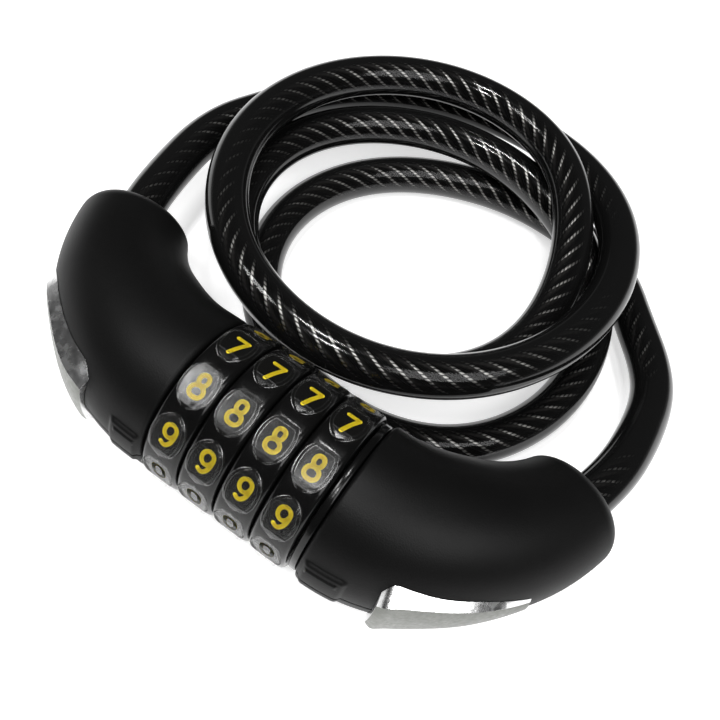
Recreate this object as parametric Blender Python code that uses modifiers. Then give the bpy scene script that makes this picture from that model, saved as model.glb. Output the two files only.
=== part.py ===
"""Combination cable lock: a curved body of two halves with four number dials, and a coiled steel cable.

The lock lies flat. X runs along the dial axis from the dial half on the left to the bolt half on the
right, -Y is the outer curve with the index marks, and +Z is up. Everything is built round the dial
axis and hangs on one empty, which is moved at the end so that the body's box stands on the origin.
"""

import math

import bmesh
import bpy
import numpy as np
from mathutils import Matrix, Vector

MM = 0.001
COLLECTION_NAME = "cable_lock"
CUTTER_COLLECTION_NAME = "cutters"

# Gaps between pieces.
CLEARANCE = 0.3 * MM
SPLIT_GAP = 0.3 * MM
BOLT_CLEARANCE = 0.5 * MM

# Number dials.
DIAL_COUNT = 4
DIGIT_COUNT = 10
DIAL_PITCH = 10.4 * MM
DIAL_CROWN_RADIUS = 21.6 * MM
DIAL_EDGE_DROP = 1.3 * MM
DIAL_CHAMFER = 1.6 * MM
WINDOW_PROUD = 0.4 * MM
WINDOW_LENGTH = 11.6 * MM
WINDOW_WIDTH = 8.6 * MM
WINDOW_TOP_SHARE = 0.84
WINDOW_ROOT = 1.2 * MM

# Tumblers inside the dials.
TUMBLER_RADIUS = 13.0 * MM
TUMBLER_LOBE = 0.9 * MM
NOTCH_DEPTH = 0.6 * MM
WEB_THICKNESS = 5.2 * MM

# Sleeve that carries the dials.
SLEEVE_RADIUS = 5.6 * MM
SLEEVE_SPIGOT = 1.0 * MM
SLEEVE_ROOT = 11.5 * MM
SLOT_WIDTH = 3.0 * MM
STRIP_WIDTH = 2.0 * MM
STRIP_THICKNESS = 0.5 * MM
STRIP_GROOVE_DEPTH = 1.2 * MM
STRIP_BUMP_HEIGHT = 0.35 * MM
STRIP_BUMP_LENGTH = 2.0 * MM

# Locking bolt.
BOLT_RADIUS = 3.3 * MM
BOLT_ROOT = 13.0 * MM
BOLT_TIP = 1.2 * MM
FIN_REACH = 7.4 * MM
FIN_WIDTH = 2.4 * MM
FIN_LENGTH = 2.5 * MM
GATE_WIDTH = 3.2 * MM

# End collar, thrust washer and circlip at the sleeve's open end.
COLLAR_THICKNESS = 2.0 * MM
COLLAR_RADIUS = 20.2 * MM
WASHER_WIDTH = 2.6 * MM
WASHER_THICKNESS = 0.5 * MM
CIRCLIP_WIDTH = 1.7 * MM
CIRCLIP_THICKNESS = 0.5 * MM
CIRCLIP_DEPTH = 0.7 * MM
CIRCLIP_SETBACK = 0.5 * MM

# Curved halves: a straight lead, an arc and a straight tail.
BEND_ANGLE = math.radians(72)
LEFT_BEND_RADIUS = 43.6 * MM
RIGHT_BEND_RADIUS = 48.9 * MM
LEFT_LEAD = 6.2 * MM
RIGHT_LEAD = 0.6 * MM
TAIL = 0.5 * MM
FACE_RADIUS = 21.2 * MM
MOUTH_RADIUS = 14.5 * MM
TAPER_SPAN = 0.725
WALL = 2.2 * MM
END_WALL = 3.0 * MM
WALL_DRAFT = 0.4 * MM
FACE_FILLET = 1.2 * MM
MOUTH_FILLET = 4.0 * MM
SHELL_STEPS = 9
SHELL_SIDES = 11

# Index marks beside the dials.
INDEX_LENGTH = 8.6 * MM
INDEX_WIDTH = 3.4 * MM
INDEX_HEIGHT = 0.6 * MM
INDEX_SETBACK = 0.7 * MM

# Metal finger grips on the outer curve.
GRIP_START = 14.8 * MM
GRIP_LENGTH = 27.6 * MM
GRIP_ROOT_HEIGHT = 10.0 * MM
GRIP_FACE_HEIGHT = 6.9 * MM
GRIP_PROUD = 2.3 * MM
GRIP_TIP_SHARE = 0.42
GRIP_STEPS = 8
GRIP_HEEL_SHARES = ((0.0, 0.62, 0.25), (0.05, 0.86, 0.8), (0.12, 1.0, 1.0))
PEG_RADIUS = 1.8 * MM
PEG_PLACES = (0.28, 0.66)
PEG_REACH = 3.6 * MM

# Die-cast cores inside the halves.
HUB_LENGTH = 9.0 * MM
CORE_ARM_RADIUS = 10.2 * MM
CORE_SEAT_LENGTH = 12.0 * MM
CORE_STEP = 1.5 * MM
CORE_SIDES = 20

# Cross pins.
PIN_RADIUS = 1.2 * MM
SLEEVE_PIN_LENGTH = 24.0 * MM
FERRULE_PIN_LENGTH = 20.0 * MM

# Cable and its crimped ends.
CABLE_RADIUS = 6.0 * MM
CABLE_SLACK = 0.8 * MM
FERRULE_RADIUS = 6.8 * MM
FERRULE_LENGTH = 10.0 * MM
FERRULE_SETBACK = 1.0 * MM
CABLE_STRAIGHT = 12.0 * MM
POINTS_A_TURN = 24
COIL_BEVEL_RESOLUTION = 1
STRETCH_BEVEL_RESOLUTION = 3
STRETCH_POINT_SPACING = 10.0 * MM
LEAST_COIL_GAP = 0.4 * MM
LEAST_LIFT = 0.1 * MM

# The coil's turns as stations. Angles run clockwise from the left, one turn being 360 degrees. Each
# gives how far the turn's centre has moved from the upper to the lower one, its radius, and the height
# of the cable's middle over the ground.
UPPER_CENTRE = (-7.0 * MM, 83.0 * MM)
LOWER_CENTRE = (6.0 * MM, 79.0 * MM)
COIL_STATIONS = (
    (17, 0.00, 63.7, 20.0),
    (42, 0.00, 63.4, 19.3),
    (90, 0.00, 64.4, 20.4),
    (115, 0.00, 64.5, 23.3),
    (138, 0.00, 62.1, 26.8),
    (180, 0.00, 55.6, 29.4),
    (225, 0.00, 53.6, 29.1),
    (270, 0.00, 55.0, 29.15),
    (298, 0.00, 56.4, 30.7),
    (320, 0.00, 56.4, 31.2),
    (405, 0.00, 56.0, 31.4),
    (450, 0.00, 55.0, 31.4),
    (480, 0.00, 50.8, 30.6),
    (500, 0.00, 47.2, 27.8),
    (540, 0.00, 45.0, 20.4),
    (585, 0.00, 47.0, 18.0),
    (630, 0.00, 49.1, 18.1),
    (655, 0.00, 51.7, 18.75),
    (683, 0.00, 52.9, 18.8),
    (720, 0.10, 52.4, 18.9),
    (765, 0.30, 50.4, 18.9),
    (810, 0.60, 49.6, 18.9),
    (846, 0.85, 49.4, 16.1),
    (900, 1.00, 49.0, 8.6),
    (930, 1.00, 49.8, 6.4),
    (960, 1.00, 51.6, 6.15),
    (990, 1.00, 52.2, 6.15),
    (1061, 1.00, 52.8, 6.15),
    (1120, 1.00, 49.2, 6.15),
    (1150, 1.00, 49.8, 6.15),
    (1172, 1.00, 53.2, 6.15),
    (1192, 1.00, 57.6, 6.6),
    (1210, 1.00, 61.2, 8.2),
    (1227, 1.00, 62.0, 10.4),
)

# Free stretches, chosen by hand from each mouth to the coil: x and y from the dial axis, and height.
LEFT_ROUTE = ((-73.4, 46.0, 22.0), (-75.7, 57.5, 21.1), (-76.8, 69.1, 20.7), (-75.6, 80.0, 20.6))
RIGHT_ROUTE = ((75.2, 51.0, 21.7), (76.3, 60.9, 19.9), (76.6, 71.5, 17.5), (74.5, 86.7, 14.5))

# Sizes that follow from those above.
DIAL_WIDTH = DIAL_PITCH - CLEARANCE
STACK_HALF = DIAL_COUNT * DIAL_PITCH / 2
LEFT_FACE = -STACK_HALF - CLEARANCE
COLLAR_START = STACK_HALF + CLEARANCE
RIGHT_FACE = COLLAR_START + COLLAR_THICKNESS + CLEARANCE
SLEEVE_BORE = BOLT_RADIUS + BOLT_CLEARANCE
TUMBLER_BORE = SLEEVE_RADIUS + CLEARANCE
FIN_ROOM_RADIUS = FIN_REACH + BOLT_CLEARANCE
WASHER_INNER_RADIUS = FIN_ROOM_RADIUS + 2 * CLEARANCE
WASHER_OUTER_RADIUS = WASHER_INNER_RADIUS + WASHER_WIDTH
CIRCLIP_INNER_RADIUS = SLEEVE_RADIUS - CIRCLIP_DEPTH + CLEARANCE
CIRCLIP_RADIUS = CIRCLIP_INNER_RADIUS + CIRCLIP_WIDTH
SLEEVE_PIN_SETBACK = (SLEEVE_ROOT + END_WALL) / 2
BOLT_PIN_SETBACK = END_WALL + HUB_LENGTH / 2
FERRULE_DEPTH = END_WALL + FERRULE_SETBACK
WINDOW_TOP_RADIUS = DIAL_CROWN_RADIUS + WINDOW_PROUD
WINDOW_END = math.hypot(WINDOW_TOP_RADIUS, WINDOW_TOP_SHARE * WINDOW_LENGTH / 2)
WINDOW_HALF_ANGLE = math.acos(WINDOW_TOP_RADIUS / WINDOW_END)
GROUND = WINDOW_END * math.cos(math.pi / DIGIT_COUNT - WINDOW_HALF_ANGLE)

COLOURS = {
    "shell_black": ((0.012, 0.012, 0.013), 0.42, 0.0),
    "dial_black": ((0.010, 0.010, 0.011), 0.18, 0.0),
    "bright_zinc": ((0.62, 0.62, 0.63), 0.22, 1.0),
    "core_zinc": ((0.45, 0.45, 0.46), 0.45, 1.0),
    "steel": ((0.50, 0.50, 0.52), 0.30, 1.0),
    "brass": ((0.68, 0.48, 0.20), 0.35, 1.0),
    "cable_sleeve": ((0.015, 0.014, 0.014), 0.12, 0.0),
}


def clear_scene():
    for obj in list(bpy.data.objects):
        bpy.data.objects.remove(obj)


def make_collection(name):
    collection = bpy.data.collections.new(name)
    bpy.context.scene.collection.children.link(collection)
    return collection


def make_materials():
    made = {}
    for name, (colour, roughness, metallic) in COLOURS.items():
        material = bpy.data.materials.new(name)
        material.use_nodes = True
        shader = material.node_tree.nodes["Principled BSDF"]
        shader.inputs["Base Color"].default_value = (*colour, 1.0)
        shader.inputs["Roughness"].default_value = roughness
        shader.inputs["Metallic"].default_value = metallic
        material.diffuse_color = (*colour, 1.0)
        made[name] = material
    return made


clear_scene()
PARTS = make_collection(COLLECTION_NAME)
CUTTERS = make_collection(CUTTER_COLLECTION_NAME)
MATERIALS = make_materials()


# ---- Mesh helpers ----


def object_from_bmesh(name, shape, collection=CUTTERS):
    bmesh.ops.recalc_face_normals(shape, faces=shape.faces)
    mesh = bpy.data.meshes.new(name)
    shape.to_mesh(mesh)
    shape.free()
    obj = bpy.data.objects.new(name, mesh)
    collection.objects.link(obj)
    if collection is CUTTERS:
        obj.hide_render = True
        obj.display_type = "WIRE"
    return obj


def finish_part(obj, material, parent):
    """Gives a piece its material and its parent, and smooth shading on its round faces."""
    obj.data.materials.clear()
    obj.data.materials.append(MATERIALS[material])
    obj.data.shade_smooth()
    obj.data.set_sharp_from_angle(angle=math.radians(35))
    obj.parent = parent
    return obj


def along_x(shape):
    """Turns a shape built along Z so that it runs along X."""
    bmesh.ops.rotate(shape, cent=(0, 0, 0), matrix=Matrix.Rotation(math.pi / 2, 3, "Y"), verts=shape.verts)


def rod(name, radius, start, end, sides=24, collection=CUTTERS, tip_radius=None):
    """A cylinder between two points, or a cone that narrows to tip_radius at its end."""
    start, end = Vector(start), Vector(end)
    shape = bmesh.new()
    bmesh.ops.create_cone(
        shape,
        cap_ends=True,
        segments=sides,
        radius1=radius,
        radius2=radius if tip_radius is None else tip_radius,
        depth=(end - start).length,
    )
    turn = (end - start).to_track_quat("Z", "Y").to_matrix().to_4x4()
    bmesh.ops.transform(shape, matrix=Matrix.Translation((start + end) / 2) @ turn, verts=shape.verts)
    return object_from_bmesh(name, shape, collection)


def block(name, low, high, collection=CUTTERS):
    """A box between two opposite corners."""
    low, high = Vector(low), Vector(high)
    shape = bmesh.new()
    bmesh.ops.create_cube(shape, size=1)
    bmesh.ops.scale(shape, vec=high - low, verts=shape.verts)
    bmesh.ops.translate(shape, vec=(low + high) / 2, verts=shape.verts)
    return object_from_bmesh(name, shape, collection)


def prism_x(name, outline, start, end):
    """A straight prism along X with the given outline of (y, z) points."""
    shape = bmesh.new()
    ring = [shape.verts.new((start, y, z)) for y, z in outline]
    face = shape.faces.new(ring)
    grown = bmesh.ops.extrude_face_region(shape, geom=[face])
    top = [item for item in grown["geom"] if isinstance(item, bmesh.types.BMVert)]
    bmesh.ops.translate(shape, vec=(end - start, 0, 0), verts=top)
    return object_from_bmesh(name, shape)


def turned(name, profile, steps, collection=CUTTERS):
    """A ring turned about X from a closed profile of (x, radius) points."""
    shape = bmesh.new()
    corners = [shape.verts.new((x, 0, radius)) for x, radius in profile]
    for here, after in zip(corners, corners[1:] + corners[:1]):
        shape.edges.new((here, after))
    obj = object_from_bmesh(name, shape, collection)
    screw = obj.modifiers.new("turn", "SCREW")
    screw.axis = "X"
    screw.steps = screw.render_steps = steps
    screw.use_merge_vertices = True
    screw.merge_threshold = 0.00001
    screw.use_normal_flip = True
    return obj


def loft(name, rings, collection=CUTTERS):
    """A closed solid through rings of equally many points, capped at both ends."""
    shape = bmesh.new()
    levels = [[shape.verts.new(point) for point in ring] for ring in rings]
    for low, high in zip(levels, levels[1:]):
        for i in range(len(low)):
            j = (i + 1) % len(low)
            shape.faces.new((low[i], low[j], high[j], high[i]))
    shape.faces.new(levels[0])
    shape.faces.new(levels[-1])
    return object_from_bmesh(name, shape, collection)


def combine(obj, other, operation):
    modifier = obj.modifiers.new(other.name, "BOOLEAN")
    modifier.operation = operation
    modifier.solver = "EXACT"
    modifier.object = other
    return obj


def applied(obj, name, collection=PARTS):
    """A plain mesh object of what the modifiers make, in place of the first one."""
    bpy.context.view_layer.update()
    evaluated = obj.evaluated_get(bpy.context.evaluated_depsgraph_get())
    mesh = bpy.data.meshes.new_from_object(evaluated)
    mesh.name = name
    made = bpy.data.objects.new(name, mesh)
    collection.objects.link(made)
    bpy.data.objects.remove(obj)
    return made


def circle_points(radius, count, start=0.0):
    angles = [start + 2 * math.pi * i / count for i in range(count)]
    return [(radius * math.cos(a), radius * math.sin(a)) for a in angles]


def star_outline(low, high, points):
    """A ring of points that alternates between two radii, with a high point at +Z."""
    outline = []
    for i in range(2 * points):
        radius = high if i % 2 == 0 else low
        angle = math.pi / 2 + math.pi * i / points
        outline.append((radius * math.cos(angle), radius * math.sin(angle)))
    return outline


# ---- The curved centre line of a half ----


def lead_and_bend(side):
    """Straight lead and bend radius of a half."""
    if side < 0:
        return LEFT_LEAD, LEFT_BEND_RADIUS
    return RIGHT_LEAD, RIGHT_BEND_RADIUS


def horn_length(side):
    lead, bend = lead_and_bend(side)
    return lead + bend * BEND_ANGLE + TAIL


def horn_frame(side, distance):
    """Middle, forward and outward directions of a half at a distance from its face."""
    lead, bend = lead_and_bend(side)
    face = LEFT_FACE if side < 0 else RIGHT_FACE
    turn = min(max(distance - lead, 0.0) / bend, BEND_ANGLE)
    straight = min(distance, lead)
    past = max(distance - lead - bend * BEND_ANGLE, 0.0)
    x = straight + bend * math.sin(turn) + past * math.cos(turn)
    y = bend * (1 - math.cos(turn)) + past * math.sin(turn)
    middle = Vector((face + side * x, y, 0))
    forward = Vector((side * math.cos(turn), math.sin(turn), 0))
    outward = Vector((side * math.sin(turn), -math.cos(turn), 0))
    return middle, forward, outward


def horn_point(side, distance, radial, height):
    middle, _, outward = horn_frame(side, distance)
    return middle + outward * radial + Vector((0, 0, height))


def eased(share):
    """A share from 0 to 1 with a gentle start and end."""
    return share * share * (3 - 2 * share)


def tapered_radius(side, distance):
    """Outer radius of a half before its ends are rounded."""
    share = min(max(distance / horn_length(side), 0.0), 1.0)
    return FACE_RADIUS + (MOUTH_RADIUS - FACE_RADIUS) * eased(TAPER_SPAN * share) / eased(TAPER_SPAN)


def rounded_radius(side, distance):
    radius = tapered_radius(side, distance)
    for fillet, depth in ((FACE_FILLET, distance), (MOUTH_FILLET, horn_length(side) - distance)):
        if depth < fillet:
            radius -= fillet - math.sqrt(max(fillet**2 - (fillet - depth) ** 2, 0.0))
    return radius


# ---- Housing shells ----


def shell_stations(side):
    """Distances along a half with its outer and inner radius, from the dial face to the cable mouth."""
    length = horn_length(side)
    face_bore = SLEEVE_RADIUS + CLEARANCE
    mouth_bore = CABLE_RADIUS + CABLE_SLACK
    inner_start = END_WALL + WALL_DRAFT
    inner_end = length - END_WALL - WALL_DRAFT
    stations = [(d, face_bore) for d in (0.0, 0.3 * FACE_FILLET, FACE_FILLET, END_WALL)]
    for i in range(SHELL_STEPS + 1):
        distance = inner_start + (inner_end - inner_start) * i / SHELL_STEPS
        stations.append((distance, tapered_radius(side, distance) - WALL))
    for share in (0.72, 0.4, 0.12, 0.0):
        stations.append((length - share * MOUTH_FILLET, mouth_bore))
    return [(distance, rounded_radius(side, distance), inner) for distance, inner in stations]


def half_ring(side, distance, outer, inner, up):
    """Points round one half of the wall: out along the outside and back along the inside."""
    points = []
    for radius, order in ((outer, 1), (inner, -1)):
        first = math.asin(SPLIT_GAP / 2 / radius)
        angles = [first + (math.pi - 2 * first) * i / SHELL_SIDES for i in range(SHELL_SIDES + 1)]
        for angle in angles[::order]:
            points.append(horn_point(side, distance, radius * math.cos(angle), up * radius * math.sin(angle)))
    return points


def index_mark(side, up):
    """Half of the raised bar that shows which row of digits counts."""
    face = LEFT_FACE if side < 0 else RIGHT_FACE
    inner = face + side * INDEX_SETBACK
    outer = inner + side * INDEX_LENGTH
    top = FACE_RADIUS + INDEX_HEIGHT
    root = FACE_RADIUS - WALL / 2
    name = f"index_mark_{'left' if side < 0 else 'right'}_{'top' if up > 0 else 'bottom'}"
    slope = INDEX_HEIGHT
    rings = []
    for x, y in ((inner, -root), (inner, -top), (outer - side * slope * 2, -top), (outer, -root)):
        rings.append([(x, y, up * SPLIT_GAP / 2), (x, y, up * INDEX_WIDTH / 2)])
    outline = [ring[0] for ring in rings]
    return loft(name, [outline, [ring[1] for ring in rings]])


def make_shell(side, up, material, parent):
    word = "left" if side < 0 else "right"
    name = f"{word}_shell_{'top' if up > 0 else 'bottom'}"
    rings = [half_ring(side, d, outer, inner, up) for d, outer, inner in shell_stations(side)]
    shell = loft(name, rings, PARTS)
    combine(shell, index_mark(side, up), "UNION")
    for place in PEG_PLACES:
        combine(shell, peg_hole(side, place), "DIFFERENCE")
    return finish_part(shell, material, parent)


# ---- Finger grips ----


def peg_distance(place):
    return GRIP_START + place * GRIP_LENGTH


def peg_ends(side, place, reach):
    distance = peg_distance(place)
    surface = tapered_radius(side, distance)
    start = horn_point(side, distance, surface + GRIP_PROUD / 2, 0)
    return start, horn_point(side, distance, surface - reach, 0)


def peg_hole(side, place):
    name = f"peg_hole_{'left' if side < 0 else 'right'}_{place}"
    if name in bpy.data.objects:
        return bpy.data.objects[name]
    start, end = peg_ends(side, place, PEG_REACH + WALL)
    return rod(name, PEG_RADIUS + CLEARANCE, start, end, 12)


def grip_ring(side, distance, root, face, proud):
    """Section of a grip: an arc that seats on the shell and a face that follows it further out."""
    seat = tapered_radius(side, distance) + CLEARANCE
    outside = tapered_radius(side, distance) + proud
    points = []
    for share in (-1.0, -0.5, 0.0, 0.5, 1.0):
        height = root * share
        points.append(horn_point(side, distance, math.sqrt(seat**2 - height**2), height))
    for share in (1.0, 0.5, 0.0, -0.5, -1.0):
        height = face * share
        points.append(horn_point(side, distance, math.sqrt(outside**2 - height**2), height))
    return points


def grip_stations():
    """Shares of a grip's length with shares of its height and of how far it stands proud."""
    stations = list(GRIP_HEEL_SHARES)
    first = stations[-1][0]
    for i in range(1, GRIP_STEPS + 1):
        along = i / GRIP_STEPS
        share = first + (1 - first) * along
        height = 1 - (1 - GRIP_TIP_SHARE) * along**1.5
        proud = 1 - 0.55 * along**1.5
        stations.append((share, height, proud))
    stations[-1] = (1.0, GRIP_TIP_SHARE * 0.62, 0.3)
    return stations


def make_grip(side, parent):
    name = f"{'left' if side < 0 else 'right'}_finger_grip"
    rings = []
    for share, height, proud in grip_stations():
        distance = GRIP_START + share * GRIP_LENGTH
        stand = CLEARANCE + 0.4 * MM + (GRIP_PROUD - CLEARANCE - 0.4 * MM) * proud
        rings.append(grip_ring(side, distance, GRIP_ROOT_HEIGHT * height, GRIP_FACE_HEIGHT * height, stand))
    grip = loft(name, rings, PARTS)
    for place in PEG_PLACES:
        start, end = peg_ends(side, place, PEG_REACH)
        combine(grip, rod(f"{name}_peg_{place}", PEG_RADIUS, start, end, 12), "UNION")
    return finish_part(grip, "bright_zinc", parent)


# ---- Cores, ferrules and cross pins ----


def mouth_point(side, depth):
    """A point on the straight line through the middle of a mouth, at a depth inside it."""
    middle, forward, _ = horn_frame(side, horn_length(side))
    return middle - forward * depth


def make_core(side, bore_radius, bore_depth, pin_distance, parent):
    """The die-cast core: a hub at the dial face, a curved arm, and a seat round the cable's ferrule."""
    word = "left" if side < 0 else "right"
    start = END_WALL + WALL_DRAFT + CLEARANCE
    end = horn_length(side) - END_WALL - WALL_DRAFT - CLEARANCE
    hub_end = start + HUB_LENGTH
    seat_start = end - CORE_SEAT_LENGTH
    middles = [hub_end + CORE_STEP + (seat_start - hub_end - 2 * CORE_STEP) * i / 6 for i in range(7)]
    hub = [start, (start + hub_end) / 2, hub_end]
    seat = [seat_start, (seat_start + end) / 2, end]
    stations = [(d, tapered_radius(side, d) - WALL - CLEARANCE) for d in hub]
    stations += [(d, CORE_ARM_RADIUS) for d in middles]
    stations += [(d, tapered_radius(side, d) - WALL - CLEARANCE) for d in seat]
    rings = []
    for distance, radius in stations:
        outline = circle_points(radius, CORE_SIDES)
        rings.append([horn_point(side, distance, radial, height) for radial, height in outline])
    core = loft(f"{word}_core", rings, PARTS)
    face = LEFT_FACE if side < 0 else RIGHT_FACE
    bore_end = (face + side * (start + bore_depth), 0, 0)
    combine(core, rod(f"{word}_core_bore", bore_radius, (face, 0, 0), bore_end), "DIFFERENCE")
    outer = mouth_point(side, FERRULE_DEPTH - 2 * FERRULE_SETBACK)
    inner = mouth_point(side, FERRULE_DEPTH + FERRULE_LENGTH + CLEARANCE)
    combine(core, rod(f"{word}_ferrule_bore", FERRULE_RADIUS + CLEARANCE, inner, outer), "DIFFERENCE")
    combine(core, cross_hole(f"{word}_hub", (face + side * pin_distance, 0, 0), SLEEVE_PIN_LENGTH), "DIFFERENCE")
    combine(core, ferrule_hole(side), "DIFFERENCE")
    return finish_part(core, "core_zinc", parent)


def cross_hole(name, middle, length):
    name = f"{name}_pin_hole"
    if name in bpy.data.objects:
        return bpy.data.objects[name]
    reach = Vector((0, 0, length / 2 + CLEARANCE))
    middle = Vector(middle)
    return rod(name, PIN_RADIUS + CLEARANCE, middle - reach, middle + reach, 12)


def cross_pin(name, middle, length, parent):
    reach = Vector((0, 0, length / 2))
    middle = Vector(middle)
    pin = rod(name, PIN_RADIUS, middle - reach, middle + reach, 12, PARTS)
    return finish_part(pin, "steel", parent)


def ferrule_middle(side):
    return mouth_point(side, FERRULE_DEPTH + FERRULE_LENGTH / 2)


def ferrule_hole(side):
    return cross_hole(f"{'left' if side < 0 else 'right'}_ferrule", ferrule_middle(side), FERRULE_PIN_LENGTH)


def make_ferrule(side, parent):
    word = "left" if side < 0 else "right"
    outer = mouth_point(side, FERRULE_DEPTH)
    inner = mouth_point(side, FERRULE_DEPTH + FERRULE_LENGTH)
    ferrule = rod(f"{word}_ferrule", FERRULE_RADIUS, inner, outer, 20, PARTS)
    combine(ferrule, ferrule_hole(side), "DIFFERENCE")
    finish_part(ferrule, "steel", parent)
    cross_pin(f"{word}_ferrule_pin", ferrule_middle(side), FERRULE_PIN_LENGTH, parent)


# ---- Sleeve, detent strip, collar, washer and circlip ----


def dial_middle(index):
    return (index - (DIAL_COUNT - 1) / 2) * DIAL_PITCH


def sleeve_end():
    return COLLAR_START + COLLAR_THICKNESS + SLEEVE_SPIGOT


def circlip_start():
    return COLLAR_START + COLLAR_THICKNESS - CIRCLIP_SETBACK - CIRCLIP_THICKNESS


def make_sleeve(parent):
    """A tube with a slot for the bolt's fins above and a groove for the detent strip below."""
    start = LEFT_FACE - SLEEVE_ROOT
    end = sleeve_end()
    groove_start = circlip_start() - CLEARANCE
    groove_end = groove_start + CIRCLIP_THICKNESS + 2 * CLEARANCE
    floor = SLEEVE_RADIUS - CIRCLIP_DEPTH
    profile = [
        (start, SLEEVE_BORE),
        (start, SLEEVE_RADIUS),
        (groove_start, SLEEVE_RADIUS),
        (groove_start, floor),
        (groove_end, floor),
        (groove_end, SLEEVE_RADIUS),
        (end, SLEEVE_RADIUS),
        (end, SLEEVE_BORE),
    ]
    sleeve = turned("lock_sleeve", profile, 28, PARTS)
    slot_low = (LEFT_FACE + CLEARANCE, -SLOT_WIDTH / 2, 0)
    slot_high = (end + CLEARANCE, SLOT_WIDTH / 2, 2 * SLEEVE_RADIUS)
    combine(sleeve, block("sleeve_slot", slot_low, slot_high), "DIFFERENCE")
    half = STRIP_WIDTH / 2 + CLEARANCE
    strip_end = STACK_HALF - CLEARANCE
    groove_low = (-strip_end - CLEARANCE, -half, -2 * SLEEVE_RADIUS)
    groove_high = (strip_end + CLEARANCE, half, -SLEEVE_RADIUS + STRIP_GROOVE_DEPTH)
    combine(sleeve, block("strip_groove", groove_low, groove_high), "DIFFERENCE")
    pin_place = (LEFT_FACE - SLEEVE_PIN_SETBACK, 0, 0)
    combine(sleeve, cross_hole("left_hub", pin_place, SLEEVE_PIN_LENGTH), "DIFFERENCE")
    cross_pin("sleeve_pin", pin_place, SLEEVE_PIN_LENGTH, parent)
    return finish_part(sleeve, "steel", parent)


def make_detent_strip(parent):
    """A flat spring in the sleeve's groove, with one bump under each tumbler."""
    top = -SLEEVE_RADIUS + STRIP_GROOVE_DEPTH - CLEARANCE
    under = top - STRIP_THICKNESS
    strip_end = STACK_HALF - CLEARANCE
    outline = [(-strip_end, top), (-strip_end, under)]
    for i in range(DIAL_COUNT):
        crest = dial_middle(i) + DIAL_WIDTH / 4
        outline.append((crest - STRIP_BUMP_LENGTH / 2, under))
        outline.append((crest, under - STRIP_BUMP_HEIGHT))
        outline.append((crest + STRIP_BUMP_LENGTH / 2, under))
    outline += [(strip_end, under), (strip_end, top)]
    sides = [[(x, y, z) for x, z in outline] for y in (-STRIP_WIDTH / 2, STRIP_WIDTH / 2)]
    return finish_part(loft("detent_strip", sides, PARTS), "steel", parent)


def make_end_collar(parent):
    """The thin ring that closes the dial stack, recessed for the thrust washer and the circlip."""
    start, end = COLLAR_START, COLLAR_START + COLLAR_THICKNESS
    washer_floor = start + WASHER_THICKNESS + CLEARANCE
    clip_floor = circlip_start() - CLEARANCE
    profile = [
        (start, TUMBLER_BORE),
        (start, WASHER_INNER_RADIUS - CLEARANCE),
        (washer_floor, WASHER_INNER_RADIUS - CLEARANCE),
        (washer_floor, WASHER_OUTER_RADIUS + CLEARANCE),
        (start, WASHER_OUTER_RADIUS + CLEARANCE),
        (start, COLLAR_RADIUS),
        (end, COLLAR_RADIUS),
        (end, CIRCLIP_RADIUS + CLEARANCE),
        (clip_floor, CIRCLIP_RADIUS + CLEARANCE),
        (clip_floor, TUMBLER_BORE),
    ]
    collar = turned("end_collar", profile, 32, PARTS)
    low = (start - CLEARANCE, -SLOT_WIDTH / 2, 0)
    high = (end + CLEARANCE, SLOT_WIDTH / 2, FIN_ROOM_RADIUS + CLEARANCE / 2)
    combine(collar, block("collar_slot", low, high), "DIFFERENCE")
    return finish_part(collar, "dial_black", parent)


def make_thrust_washer(parent):
    end = COLLAR_START + WASHER_THICKNESS
    profile = [
        (COLLAR_START, WASHER_INNER_RADIUS),
        (COLLAR_START, WASHER_OUTER_RADIUS),
        (end, WASHER_OUTER_RADIUS),
        (end, WASHER_INNER_RADIUS),
    ]
    return finish_part(turned("thrust_washer", profile, 32, PARTS), "steel", parent)


def make_circlip(parent):
    """A ring that snaps into the sleeve's groove, open where the sleeve's slot runs."""
    start = circlip_start()
    end = start + CIRCLIP_THICKNESS
    inner, outer = CIRCLIP_INNER_RADIUS, CIRCLIP_RADIUS
    profile = [(start, inner), (start, outer), (end, outer), (end, inner)]
    clip = turned("sleeve_circlip", profile, 28, PARTS)
    half = SLOT_WIDTH / 2 + CLEARANCE
    gap = block("circlip_gap", (start - CLEARANCE, -half, 0), (end + CLEARANCE, half, 2 * CIRCLIP_RADIUS))
    combine(clip, gap, "DIFFERENCE")
    return finish_part(clip, "steel", parent)


# ---- Locking bolt ----


def fin_middle(index):
    """Each fin rests in the roomy left side of its tumbler, clear of the web."""
    room = DIAL_WIDTH - WEB_THICKNESS
    return dial_middle(index) - DIAL_WIDTH / 2 + room / 2


def make_bolt(parent):
    """The round bolt of the right half, with one fin for each dial."""
    tip = fin_middle(0) - FIN_LENGTH / 2 - BOLT_TIP
    root = RIGHT_FACE + BOLT_ROOT
    bolt = rod("locking_bolt", BOLT_RADIUS, (root, 0, 0), (tip, 0, 0), 20, PARTS)
    for i in range(DIAL_COUNT):
        middle = fin_middle(i)
        low = (middle - FIN_LENGTH / 2, -FIN_WIDTH / 2, BOLT_RADIUS / 2)
        high = (middle + FIN_LENGTH / 2, FIN_WIDTH / 2, FIN_REACH)
        combine(bolt, block(f"bolt_fin_{i + 1}", low, high), "UNION")
    pin_place = (RIGHT_FACE + BOLT_PIN_SETBACK, 0, 0)
    combine(bolt, cross_hole("right_hub", pin_place, SLEEVE_PIN_LENGTH), "DIFFERENCE")
    cross_pin("bolt_pin", pin_place, SLEEVE_PIN_LENGTH, parent)
    return finish_part(bolt, "steel", parent)


# ---- Dials and tumblers ----


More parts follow.
